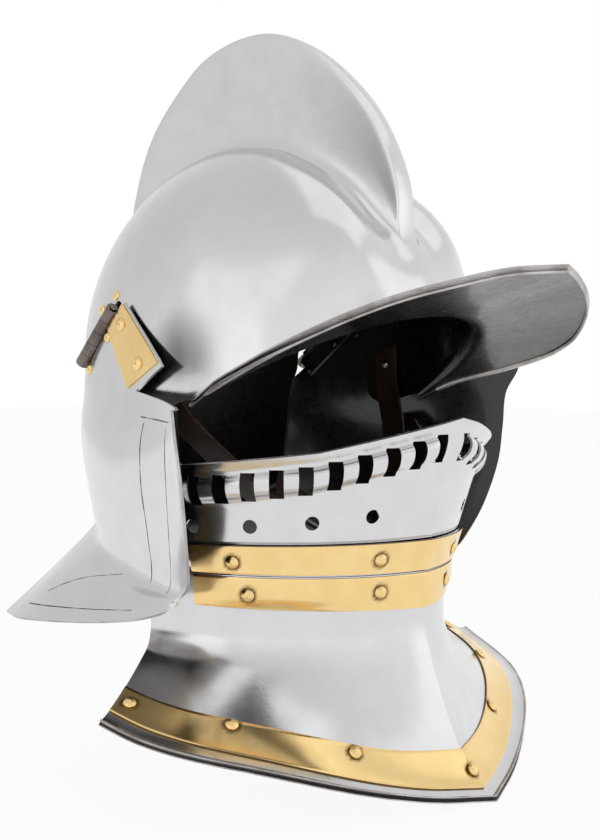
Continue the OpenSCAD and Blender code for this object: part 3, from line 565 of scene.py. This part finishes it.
def bowlSection(tilt):
    # one row of the skull, from edge to edge over the comb
    rise = combRise(tilt)
    x, share = combProfile.T
    flatten = mix(1, min(1, rise / 30), ease((share - 0.5) / 0.4))
    reach = reachX(x, tilt) - dip(x, tilt) + rise - (1 - share) * rise * flatten
    start = math.degrees(math.atan2(bowl["valley"], float(reachX(bowl["valley"], tilt))))
    side = mix(start, float(smoothAt(edgeKeys, tilt)), sideShares)
    r = reachSide(side, tilt)
    far = r * sind(side)
    r = r - dip(far, tilt) + sideSwell(far, tilt)
    x = np.concatenate([x, r * sind(side)])
    reach = np.concatenate([reach, r * cosd(side)])
    x = np.concatenate([-x[:0:-1], x])
    reach = np.concatenate([reach[:0:-1], reach])
    return world(x, bowl["rayForward"] + reach * cosd(tilt), bowl["rayUp"] + reach * sind(tilt))


def skullSurface():
    tilts = np.concatenate([np.linspace(30.5, 60, 20), np.linspace(61.5, 100, 28),
                            np.linspace(102, bowl["nape"], 42)])
    rows = [bowlSection(t) for t in tilts]
    brow = bowlSection(bowl["front"])
    turn = np.arctan2(np.abs(brow[:, 0]),
                      np.hypot(-brow[:, 1] - bowl["rayForward"], brow[:, 2] - bowl["rayUp"]))
    rim = curveAt(rimKeys, turn / turn.max() * (len(rimKeys) - 1))
    rim = world(np.sign(brow[:, 0]) * rim[:, 0], rim[:, 1], rim[:, 2])
    wide = np.linalg.norm(rim - brow, axis=1)[:, None]
    edge = np.minimum(bowl["rollShare"], bowl["rollWide"] / wide)
    beadSpots = np.array([0, 0.12, 0.28, 0.45, 0.6, 0.75, 0.9, 1])
    beads = np.where(beadSpots < 0.4, 0.35 + 0.65 * np.sqrt(np.clip(1 - (1 - beadSpots / 0.4)**2, 0, 1)),
                     1 - ease((beadSpots - 0.4) / 0.6))
    peak = [mix(brow, rim, 1 - edge * s) for s in beadSpots]
    rest = [mix(brow, rim, mix(1 - edge, 0.12, t)) for t in np.linspace(0, 1, 16)[1:]]
    # the peak turns up into the forehead over a short curve
    low, high = rest[-1], rows[0]
    turnUp = [(1 - t)**2 * low + 2 * t * (1 - t) * brow + t * t * high for t in np.linspace(0, 1, 8)[1:-1]]
    last = rows[-1]
    away = np.stack([last[:, 0], last[:, 1] + bowl["rayForward"]], axis=1)
    away /= np.linalg.norm(away, axis=1, keepdims=True)
    nape = []
    for t in np.linspace(0, 1, 13)[1:]:
        nape.append(np.column_stack([last[:, :2] + away * bowl["napeOut"] * t * t,
                                     last[:, 2] - bowl["napeDown"] * t]))
    points = np.array(peak + rest + turnUp + rows + nape)
    bead = np.zeros(points.shape[:2])
    gain = (bowl["roll"] - bowl["sheet"]) / 2
    bead[:len(beads)] = beads[:, None] * gain * ease(wide[:, 0] / bowl["rollFade"])[None]
    return points, bead


skullPoints, skullBead = skullSurface()
skull = makeSheet("skullSheet", skullPoints, bowl["sheet"], sheetLook, skullBead)
smooth(skull)
hold(skull, "helmet", "polished_steel", "skull")
print("skull made")


# hinge frame, cheekpieces and arm plates
hingeLow, hingeHigh = world(-94.4, -63.5, 3.7), world(-99.7, -28.5, 34.7)
hingeMid = (hingeLow + hingeHigh) / 2
barrelWay = (hingeHigh - hingeLow) / np.linalg.norm(hingeHigh - hingeLow)
fallWay = world(-0.19, 0.66, -0.73)
fallWay = fallWay - barrelWay * (fallWay @ barrelWay)
fallWay /= np.linalg.norm(fallWay)
headWay = np.cross(barrelWay, fallWay)


def hingePlace(mirrored):
    flip = np.array([-1, 1, 1]) if mirrored else np.ones(3)
    columns = [fallWay * flip, headWay * flip, barrelWay * flip, hingeMid * flip * mm]
    return Matrix([[*(c[k] for c in columns)] for k in range(3)] + [[0, 0, 0, 1]])


cheek = {"sheet": 1.5, "edge": 4.45, "gap": 0.12, "bareUnder": -112}
# the last two give the reach and fade of the painted shade round each rivet
brass = {"sheet": 0.8, "gap": 0.15, "reach": 0.8333, "drop": 0.5, "bevel": 0.25, "shadeReach": 4.4, "shadeFade": 1.1}
# rows from the skirt's edge up to the arm, columns from the rear to the front flange
cheekKeys = [
    [(126.5, -94.5, -139.5), (134.5, -75, -139), (138, -55, -137.5), (138.5, -32, -135.5), (138, -9, -133),
     (136.5, 10, -130.5), (133, 26, -128), (126, 38, -124.5), (118, 43, -121)],
    [(99.3, -81.6, -113), (111.3, -66.6, -115), (119, -48, -116), (122.5, -27.5, -117), (123, -7, -118),
     (123, 10, -118.5), (122, 25, -119), (120.5, 37, -119), (120, 46, -117)],
    [(77.2, -73.7, -91), (89.7, -59.4, -96), (100.6, -43.2, -100.5), (107.8, -23.8, -104.5),
     (111, -5, -107.5), (113, 12, -110), (114.5, 28, -112), (117.5, 43, -111.5), (122, 54, -108)],
    [(77.6, -74.2, -82), (89.8, -60, -83), (100.7, -43.6, -84), (109, -24.6, -85), (113.5, -5, -86),
     (116.5, 13, -86.5), (119.5, 32, -86.5), (124, 50, -87), (131, 62, -87)],
    [(80.3, -77.5, -60), (92, -63.6, -60), (102.9, -47.3, -60), (112.2, -27.5, -60), (118, -8, -60),
     (121.5, 13, -60), (125, 35, -60), (131, 57, -60), (139, 67.5, -60)],
    [(82.6, -79.2, -36), (93.8, -65.3, -36), (103.6, -48, -36), (111.4, -28.3, -36), (116.5, -9, -36),
     (120.5, 12, -36), (126, 36, -36), (134.5, 59, -36), (143.5, 68, -36)],
    [(79, -79.5, -13), (91.3, -65.5, -13), (100.2, -48, -13), (105.3, -29, -13), (108.5, -9, -13),
     (112.5, 12, -13), (120.5, 36, -13), (134, 59, -13), (146.5, 68, -15)],
    [(74, -81.5, 12), (89, -66.5, 12), (96.5, -48, 12), (101.2, -29, 12), (104.9, -9, 12),
     (107.8, 12, 12), (112, 36, 12), (130, 58, 11), (155, 72, 8)],
    [(70, -84, 40), (83.5, -67, 40), (93, -48, 40), (98.6, -29, 40), (101.6, -9, 40),
     (104.5, 12, 40), (110, 36, 40), (118, 60, 40), (123, 68, 40)]]
cheekNet = np.array(cheekKeys, float) * (-1, -1, 1)
fine = np.linspace(0, 8, 97)
cheekPoints = curveAt(curveAt(cheekNet.transpose(1, 0, 2), fine).transpose(1, 0, 2), fine)
# in the hinge's frame: the cut between arm and front flange, which is deep on the right side only
notches = {"right": [(60, 42), (55.3, 16.6), (150, 98.5)], "left": [(60, 42), (57.5, 33), (98.5, 84), (150, 147)]}
armOutline = [(cheek["edge"], 11.2), (cheek["edge"], 31.3), (55.6, 40.2), (48.5, 11)]

for side in ("right", "left"):
    mirrored = side == "left"
    place = hingePlace(mirrored)
    surface = flipSide(cheekPoints) if mirrored else cheekPoints
    sheet = makeSheet("cheekpiece_" + side, surface, cheek["sheet"], [scoredSteel, *sheetLook[1:]])
    if mirrored:
        for corner in sheet.data.uv_layers[0].data:
            corner.uv[0] = 1 - corner.uv[0]
    for face in sheet.data.polygons:
        # the skirt is left bare underneath
        if face.material_index == 1 and face.center.z < cheek["bareUnder"] * mm:
            face.material_index = 2
    top = [(-60, -80), (cheek["edge"], -80), (cheek["edge"], 32.5), *notches[side], (150, 160), (-60, 160)]
    cutWith(sheet, prism("cheekTrim", top, place, 160))
    smooth(sheet)
    hold(sheet, "cheek_" + side, "polished_steel", "cheek_" + side)
    raised = pushOut(surface, np.full(surface.shape[:2], cheek["gap"] + brass["sheet"]))
    # the arm plate's rim takes the darkened brass, a painted shadow line
    plate = makeSheet("armPlate_" + side, raised, brass["sheet"], [brassSheet, brassSheet, shadedBrassRim])
    cutWith(plate, prism("armTrim", armOutline, place, 60), "INTERSECT")
    soften(plate, brass["bevel"])
    smooth(plate)
    hold(plate, "cheek_" + side, "brass_sheet", "arm_plate_" + side)
print("cheekpieces made")


# buffe: face plate, middle lame and collar round one keel
buffe = {"sheet": 1.2, "turnSide": 13, "turnForward": -2, "rear": 86, "rib": 4.2, "slits": 10, "slitWide": 7.6,
         "slitHigh": 15, "slitFirst": 10.1, "slitLast": 69.3, "slitLevel": 14, "hole": 7.5, "holeFirst": 25.9,
         "holePitch": 15.2, "holeLevels": (-76.6, -79.3, -81.1, -82.1), "neckIn": -102.5, "neckEnd": -106.3,
         "earFront": 22.5, "earTop": -36, "throatKeel": 111.3, "pinch": 4.5, "lift": 2.05, "low": -114.5,
         "lameEdge": -91.3}
collarEdge = {"level": -109.5, "fall": 2.7, "keel": 112, "run": 104}
faceTopKeys = [(5.6, -25.4), (12.9, -28.7), (22.4, -33.3), (40.5, -42.3), (60, -47), (73, -49.4), (79, -32),
               (86, -31)]
ribKeys = [(7.5, 0.2), (10.5, 0.8), (14, 1), (17.5, 0.8), (20.5, 0.22), (23.5, 0)]
lipKeys = [(0, 3), (2.5, 1.8), (5, 0.5), (7.5, 0)]
rimPlanKeys = [(0, 160), (40, 145.5), (79, 127), (109, 108), (134, 84), (150, 58), (159.5, 30)]
throatKeys = [(0, -138), (0.12, -143), (0.25, -148), (0.6, -149), (1.02, -147)]


def turnOf(q, r):
    return mix(np.degrees(np.arcsin(buffe["turnSide"] / r)), buffe["rear"], np.abs(q))


def platePoint(q, keel, z, out=0):
    q, keel, z, out = np.broadcast_arrays(q, keel, z, out)
    r = np.hypot(buffe["turnSide"], keel - buffe["turnForward"])
    turn = turnOf(q, r)
    tuck = 0.17 * np.maximum(0, z + 91.7) * ease((48 - buffe["turnForward"] - r * cosd(turn)) / 25)
    k = r + out - tuck
    return world(np.sign(q) * (k * sind(turn) - buffe["turnSide"]), buffe["turnForward"] + k * cosd(turn), z)


def faceKeel(z):
    return 116 + 0.307 * (z + 91.7)


def lameKeel(z):
    low = straightAt([(buffe["low"], 109.8), (buffe["neckEnd"], 110.2),
                      (buffe["neckIn"], faceKeel(buffe["neckIn"]) + buffe["lift"])], z)
    return np.where(z >= buffe["neckIn"], faceKeel(z) + buffe["lift"], low)


def collarKeel(z):
    step = buffe["sheet"] + 0.45
    low = straightAt([(-150, 111.2), (buffe["neckEnd"] - 0.4, 112.05),
                      (buffe["neckIn"], lameKeel(buffe["neckIn"]) + step)], z)
    return np.where(z >= buffe["neckIn"], lameKeel(z) + step, low)


def faceTurn(q):
    return turnOf(q, np.hypot(buffe["turnSide"], 130 - buffe["turnForward"]))


def faceTop(q):
    return straightAt(faceTopKeys, faceTurn(q))


def keelColumns(reach, count):
    # columns on both sides of the keel, with none on the keel doubled
    half = np.linspace(0, reach, count)
    return np.concatenate([-half[:0:-1], half])


def faceSurface():
    # rows from the lower edge up to the rib and the turned-out lip
    q = keelColumns(1, 110)
    turn = faceTurn(q)
    fade = ease((turn - 6) / 7) * (1 - ease((turn - 68.5) / 5))
    lip = (0.5 + 0.5 * fade) * (1 - ease((turn - 64) / 9))
    top = faceTop(q)
    rows = []
    for t in np.linspace(0, 1, 22)[:-1]:
        z = mix(-101.5, top - 23.5, t)
        rows.append(platePoint(q, faceKeel(z), z, -1.7 * ease(1 - t * 4)))
    for s in np.linspace(23.5, 0, 33):
        bulge = smoothAt(ribKeys, s) * buffe["rib"] * fade if s > 7.5 else smoothAt(lipKeys, s) * lip
        z = top - s
        rows.append(platePoint(q, faceKeel(z), z, bulge))
    return np.array(rows)


def faceTopAt(turn):
    return float(straightAt(faceTopKeys, turn))


def faceCutter():
    # slits across the rib and round breath holes below it
    parts = []
    for flip in (1, -1):
        spots = [(t, faceTopAt(t) - buffe["slitLevel"], True)
                 for t in np.linspace(buffe["slitFirst"], buffe["slitLast"], buffe["slits"])]
        spots += [(buffe["holeFirst"] + k * buffe["holePitch"], level, False)
                  for k, level in enumerate(buffe["holeLevels"])]
        for turn, level, slit in spots:
            # each cutter stands on the plate at its turn, seen from the centre of that half
            middle = Vector((flip * buffe["turnSide"], -buffe["turnForward"], level))
            spin = Matrix.Rotation(math.radians(-turn * flip), 4, "Z")
            if slit:
                bpy.ops.mesh.primitive_cube_add(size=1)
                form = bpy.context.object
                form.data.transform(Matrix.Diagonal((buffe["slitWide"], 60, buffe["slitHigh"], 1)))
            else:
                bpy.ops.mesh.primitive_cylinder_add(vertices=48, radius=buffe["hole"] / 2, depth=60)
                form = bpy.context.object
                form.data.transform(Matrix.Rotation(math.pi / 2, 4, "X"))
            form.data.transform(Matrix.Translation((0, -130, 0)))
            form.data.transform(Matrix.Translation(middle) @ spin)
            form.data.transform(Matrix.Scale(mm, 4))
            parts.append(form)
    bpy.ops.object.select_all(action="DESELECT")
    for form in parts:
        form.select_set(True)
    bpy.context.view_layer.objects.active = parts[0]
    bpy.ops.object.join()
    return parts[0]


facePlate = makeSheet("facePlateSheet", faceSurface(), buffe["sheet"], sheetLook)
cutWith(facePlate, faceCutter())
smooth(facePlate)
hold(facePlate, "face_plate", "polished_steel", "face_plate")
print("face plate made")


def topCutter(level, fall):
    # all above a level and before the ears, with the level falling a little to the rear
    bpy.ops.mesh.primitive_cube_add(size=1)
    cutter = bpy.context.object
    tilt = Matrix.Rotation(math.atan2(fall, collarEdge["run"]), 4, "X")
    cutter.data.transform(Matrix.Scale(mm, 4) @ Matrix.Translation((0, -buffe["earFront"], level)) @ tilt
                          @ Matrix.Translation((0, -100, 60)) @ Matrix.Diagonal((400, 200, 120, 1)))
    return cutter


def collarEdgeAt(forward):
    return collarEdge["level"] + collarEdge["fall"] * (collarEdge["keel"] - forward) / collarEdge["run"]


def forwardOf(q, keel):
    r = math.hypot(buffe["turnSide"], keel - buffe["turnForward"])
    return buffe["turnForward"] + r * cosd(turnOf(q, r))


q = keelColumns(1, 90)
lamePoints = np.array([platePoint(q, lameKeel(np.full_like(q, z)), z) for z in
                       [*np.linspace(buffe["low"], buffe["neckEnd"], 5), buffe["neckIn"], -100, -97, -94,
                        buffe["lameEdge"], *np.linspace(-88, buffe["earTop"], 16)]])
lame = makeSheet("middleLameSheet", lamePoints, buffe["sheet"], sheetLook)
cutWith(lame, topCutter(buffe["lameEdge"], 0))
smooth(lame)
hold(lame, "helmet", "polished_steel", "middle_lame")


def pinchAt(q):
    return buffe["pinch"] * hill((np.abs(q) - 0.5) / 0.5)


def pinchAbove(q, z):
    # the throat is drawn in at both sides, below the neck's straight part
    return ease((-117 - z) / 12) * pinchAt(q)


def neckPoint(q, z):
    return platePoint(q, collarKeel(z), z, -pinchAbove(q, z))


def gorgetPoint(q, p):
    throat = straightAt(throatKeys, np.abs(q))
    a = platePoint(q, buffe["throatKeel"], throat, -pinchAbove(q, throat))
    share = np.abs(q) / 1.02
    plan = curveAt(rimPlanKeys, share * 6)
    n = mix(1.9, 1.36, share)
    rim = -164 - 0.374 * plan[..., 1] + 6.5 * hill((np.abs(q) - 0.55) / 0.45)
    return np.stack([mix(a[..., 0], np.sign(q) * plan[..., 0], p), mix(a[..., 1], -plan[..., 1], p),
                     mix(a[..., 2], rim, 1 - (1 - p)**n)], axis=-1)


def collarSurface(q):
    throat = straightAt(throatKeys, np.abs(q))
    beadSpots = np.array([1, 0.996, 0.988, 0.978, 0.966, 0.952, 0.935])
    beads = np.array([0.7, 0.95, 1.2, 1.15, 0.8, 0.35, 0])
    rows = [gorgetPoint(q, p) for p in [*beadSpots, *np.linspace(0.92, 0.12, 30)]]
    low, high = rows[-1], neckPoint(q, throat + 10)
    bend = 2 * platePoint(q, buffe["throatKeel"], throat, -pinchAt(q))
    for t in np.linspace(0, 1, 11)[1:]:
        rows.append((1 - t)**2 * low + t * (1 - t) * bend + t * t * high)
    for t in np.linspace(0, 1, 8)[1:]:
        rows.append(neckPoint(q, mix(throat + 10, -117, t)))
    edge = collarEdgeAt(forwardOf(q, collarEdge["keel"])) - brass["drop"]
    for t in np.linspace(0, 1, 6)[1:]:
        rows.append(neckPoint(q, mix(-117, edge, t)))
    for z in [buffe["neckEnd"] - 0.4, buffe["neckIn"], -97, -91.7, *np.linspace(-86, buffe["earTop"], 14)]:
        rows.append(neckPoint(q, np.full_like(q, z)))
    bead = np.zeros((len(rows), len(q)))
    bead[:len(beads)] = beads[:, None]
    return np.array(rows), bead


collarPoints, collarBead = collarSurface(keelColumns(1.02, 100))
collar = makeSheet("collarSheet", collarPoints, buffe["sheet"], sheetLook, collarBead)
cutWith(collar, topCutter(collarEdgeAt(buffe["earFront"]), collarEdge["fall"]))
smooth(collar)
hold(collar, "helmet", "polished_steel", "collar_plate")
print("lames and collar made")


# brass bands
headApart = 0.0135  # metres, less than the way between two rivets


def rivetCentres(name):
    # the heads of a rivet node, found by where its points gather
    centres = []
    points = np.array([v.co for v in nodes[name].data.vertices])
    while len(points):
        near = np.linalg.norm(points - points[0], axis=1) < headApart
        centres.append(points[near].mean(axis=0))
        points = points[~near]
    return np.array(centres)


def paintRivetShade(thing, centres):
    # painted shade: a dark ring round each rivet, colour that stands in for the shade under its head
    points = np.zeros(len(thing.data.vertices) * 3)
    thing.data.vertices.foreach_get("co", points)
    points = points.reshape(-1, 3)
    away = np.min(np.linalg.norm(points[:, None] - centres[None], axis=2), axis=1) / mm
    ringShade = np.clip(1 - (away - brass["shadeReach"]) / brass["shadeFade"], 0, 1) * 0.9
    layer = thing.data.attributes.new("rivetShade", "FLOAT", "POINT")
    layer.data.foreach_set("value", ringShade.astype(np.float32))


def makeBand(name, surface, replaced, rivets):
    raised = pushOut(surface, np.full(surface.shape[:2], brass["gap"] + brass["sheet"]))
    # the band's rim takes the darkened brass, a painted shadow line under its edges
    band = makeSheet(name, raised, brass["sheet"], [brassSheet, brassSheet, shadedBrassRim])
    soften(band, brass["bevel"])
    # painted shade round the band's rivets
    paintRivetShade(band, rivetCentres(rivets))
    smooth(band)
    hold(band, "helmet", "brass_sheet", replaced)


q = keelColumns(brass["reach"], 90)
lowEdge = mix(-108.3, -105.8, np.abs(q))
levels = [mix(lowEdge, buffe["lameEdge"], t) for t in np.linspace(0, 1, 12)]
makeBand("lameBand", np.array([platePoint(q, faceKeel(z) + buffe["lift"], z) for z in levels]),
         "middle_lame_band", "middle_lame_rivets")
lowEdge = mix(-129.3, -123.4, np.abs(q))
topEdge = collarEdgeAt(forwardOf(q, collarEdge["keel"])) - brass["drop"]
makeBand("collarBand", np.array([neckPoint(q, mix(lowEdge, topEdge, t)) for t in np.linspace(0, 1, 12)]),
         "collar_band", "collar_rivets")
q = keelColumns(1.02, 110)
makeBand("gorgetBand", np.array([gorgetPoint(q, p) for p in np.linspace(0.83, 0.52, 12)]),
         "gorget_band", "gorget_rivets")
print("bands made")


# straps
strap = {"wide": 17, "thick": 2.2, "bevel": 0.5, "rise": 1.9}
chinRoute = [(-97.2, 9, 14), (-97.3, 9, 2), (-96.5, 10, -9), (-93.5, 15, -22), (-85.5, 24, -36),
             (-74.8, 33, -50), (-62, 42, -66), (-46, 51, -81), (-28, 57, -92), (-9, 60, -97)]
napeSide = [(103.2, 9, -120.5), (102.6, -6, -116.5), (97.4, -26, -107.5), (90, -44, -96.5), (82, -59, -86.5),
            (73.5, -71, -79)]


def makeStrap(name, rows, replaced):
    raised = pushOut(rows, np.full(rows.shape[:2], strap["thick"] / 2))
    ribbon = makeSheet(name, raised, strap["thick"], [brownLeather])
    soften(ribbon, strap["bevel"], 3)
    smooth(ribbon, 50)
    hold(ribbon, "helmet", "leather", replaced)


across = np.array([0, -0.96, 0.28])
for side in ("right", "left"):
    line = curveAt(chinRoute, np.linspace(0, len(chinRoute) - 1, 64)) * (1, -1, 1)
    rows = np.array([line - across * k * strap["wide"] for k in np.linspace(-0.5, 0.5, 9)])
    if side == "left":
        rows = flipSide(rows)
    makeStrap("chinStrap_" + side, rows, "chin_strap_" + side)


def napeRow(k):
    # along both sides of the buffe and round the back of the bowl
    line = curveAt(napeSide, np.linspace(0, len(napeSide) - 1, 41)) * (1, -1, 1) + (0, 0, 8 * k)
    tilt = 208 - k * 4.3
    turn = np.linspace(40, -40, 61)
    r = reachSide(turn, tilt) + strap["rise"]
    back = world(r * sind(turn), bowl["rayForward"] + r * cosd(turn) * cosd(tilt),
                 bowl["rayUp"] + r * cosd(turn) * sind(tilt))
    return np.concatenate([line, back, (line * (-1, 1, 1))[::-1]])


makeStrap("napeStrap", np.array([napeRow(k) for k in np.linspace(-1, 1, 9)]), "nape_strap")
print("straps made")


# small parts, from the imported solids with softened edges
small = {"hinge": 0.35, "pin": 0.25, "buckle": 0.6, "shankIn": -1.6, "bowlLeafIn": -3, "cheekLeafIn": 4.4}


def paintInside(thing, isInside):
    # what lies inside the helmet is painted with it
    thing.data.materials.append(blackPaint)
    for face in thing.data.polygons:
        if isInside(np.array(face.center) / mm):
            face.material_index = 1


def finishCopy(name, material, slotName, bevel=0.0, angle=40, isInside=None):
    thing = nodes[name].copy()
    thing.data = nodes[name].data.copy()
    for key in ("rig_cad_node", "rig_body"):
        if key in thing:
            del thing[key]
    thing.parent = None
    thing.name = thing.data.name = "finished_" + name
    bpy.context.scene.collection.objects.link(thing)
    select(thing)
    bpy.ops.object.mode_set(mode="EDIT")
    bpy.ops.mesh.select_all(action="SELECT")
    bpy.ops.mesh.remove_doubles(threshold=0.000002)
    if bevel:
        bpy.ops.mesh.dissolve_limited(angle_limit=math.radians(1))
    bpy.ops.object.mode_set(mode="OBJECT")
    if bevel:
        soften(thing, bevel, 3, 50)
    thing.data.materials.clear()
    thing.data.materials.append(material)
    if isInside:
        paintInside(thing, isInside)
    smooth(thing, angle)
    return hold(thing, nodes[name]["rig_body"], slotName, name)


def deepIn(centres):
    # true for points that lie inside their rivet's middle, in the sheet or under it
    def test(point):
        centre = centres[np.argmin(np.linalg.norm(centres - point, axis=1))]
        out = centre * (1, 1, 0) - (0, bowl["rayForward"], 0)
        return (point - centre) @ out / np.linalg.norm(out) < small["shankIn"]
    return test


for side, sign in (("right", 1), ("left", -1)):
    for name in ("bowl_leaf_rivets_", "cheek_leaf_rivets_", "arm_plate_rivets_"):
        finishCopy(name + side, brassRivet, "brass_rivet", isInside=deepIn(rivetCentres(name + side) / mm))
    for name, test in (("hinge_leaf_bowl_", lambda s: s < small["bowlLeafIn"]),
                       ("hinge_leaf_cheek_", lambda s: s > small["cheekLeafIn"])):
        finishCopy(name + side, hingeSteel, "hinge_steel", small["hinge"],
                   isInside=lambda point, test=test, sign=sign: test((point * (sign, 1, 1) - hingeMid) @ fallWay))
    finishCopy("hinge_pin_" + side, hingeSteel, "hinge_steel", small["pin"])
    finishCopy("pivot_rivet_" + side, plainSteel, "plain_steel")
for name in ("middle_lame_rivets", "collar_rivets", "gorget_rivets"):
    finishCopy(name, brassRivet, "brass_rivet")
for name in ("chin_strap_rivets", "nape_rivets"):
    finishCopy(name, plainSteel, "plain_steel")
for name in ("chin_buckle", "nape_buckle"):
    finishCopy(name, plainSteel, "plain_steel", small["buckle"])
print("small parts made")


# floor, light and background
light = {"world": 0.85, "floorGlow": 0.93, "floorInSteel": 0.97, "floorLevel": cadBox[0].z - 0.001}
# name, place, size and power of each lamp, all turned to the middle of the helmet
lamps = [("softTop", (0.3, -0.4, 1.5), 1.6, 2.4), ("softLeft", (-1.6, 0.1, 0.5), 1.3, 0.9),
         ("softRight", (0.9, -1.3, 0.5), 1.0, 0.8)]
# the room is white round the horizon, greyer overhead and behind, and dark at a doorway on the left: the way there,
# where the shade starts and where it is full, and how much light is left
roomShades = [((0, 0, 1), 0.1, 0.95, 0.7), ((-0.2, 0.98, 0), 0.5, 1.0, 0.78),
              ((-0.90, 0.42, 0.02), 0.93, 0.995, 0.06)]


def seenRays(tree):
    path = tree.nodes.new("ShaderNodeLightPath").outputs
    mirrored = calc(tree, "MAXIMUM", path["Is Glossy Ray"], path["Is Transmission Ray"])
    return path["Is Camera Ray"], calc(tree, "MAXIMUM", path["Is Camera Ray"], mirrored)


for name, place, size, power in lamps:
    bpy.ops.object.light_add(type="AREA", location=place)
    lamp = bpy.context.object
    lamp.name = name
    lamp.data.shape = "SQUARE"
    lamp.data.size = size
    lamp.data.energy = power
    lamp.rotation_mode = "QUATERNION"
    lamp.rotation_quaternion = Vector(place).to_track_quat("Z", "Y")

bpy.ops.mesh.primitive_plane_add(size=12, location=(0, 0, light["floorLevel"]))
floor = bpy.context.object
floor.name = "floor"
floorMaterial, tree, shader = startMaterial("paleFloor", Base_Color=(0.9, 0.9, 0.9, 1), Roughness=0.9)
glow = tree.nodes.new("ShaderNodeEmission")
blend = tree.nodes.new("ShaderNodeMixShader")
direct, seen = seenRays(tree)
tree.links.new(calc(tree, "MULTIPLY", seen, light["floorGlow"]), blend.inputs[0])
# the floor that the steel mirrors is a little greyer
tree.links.new(ramp(tree, direct, 0, 1, light["floorInSteel"], 1.0), glow.inputs["Strength"])
tree.links.new(shader.outputs[0], blend.inputs[1])
tree.links.new(glow.outputs[0], blend.inputs[2])
tree.links.new(blend.outputs[0], tree.nodes["Material Output"].inputs[0])
floor.data.materials.append(floorMaterial)

studio = bpy.data.worlds.new("studio")
bpy.context.scene.world = studio
studio.use_nodes = True
tree = studio.node_tree
sky = tree.nodes["Background"]
sky.inputs["Color"].default_value = (1, 1, 1, 1)
direct, seen = seenRays(tree)
way = coordinates(tree, "Generated")
shade = 1.0
for aim, start, full, left in roomShades:
    dot = vectorCalc(tree, "DOT_PRODUCT", way, aim, "Value")
    shade = calc(tree, "MULTIPLY", shade, ramp(tree, dot, start, full, 1.0, left))
shade = calc(tree, "MAXIMUM", shade, direct)
tree.links.new(calc(tree, "MULTIPLY", shade, ramp(tree, seen, 0, 1, light["world"], 1.0)), sky.inputs["Strength"])
print("light and floor set")
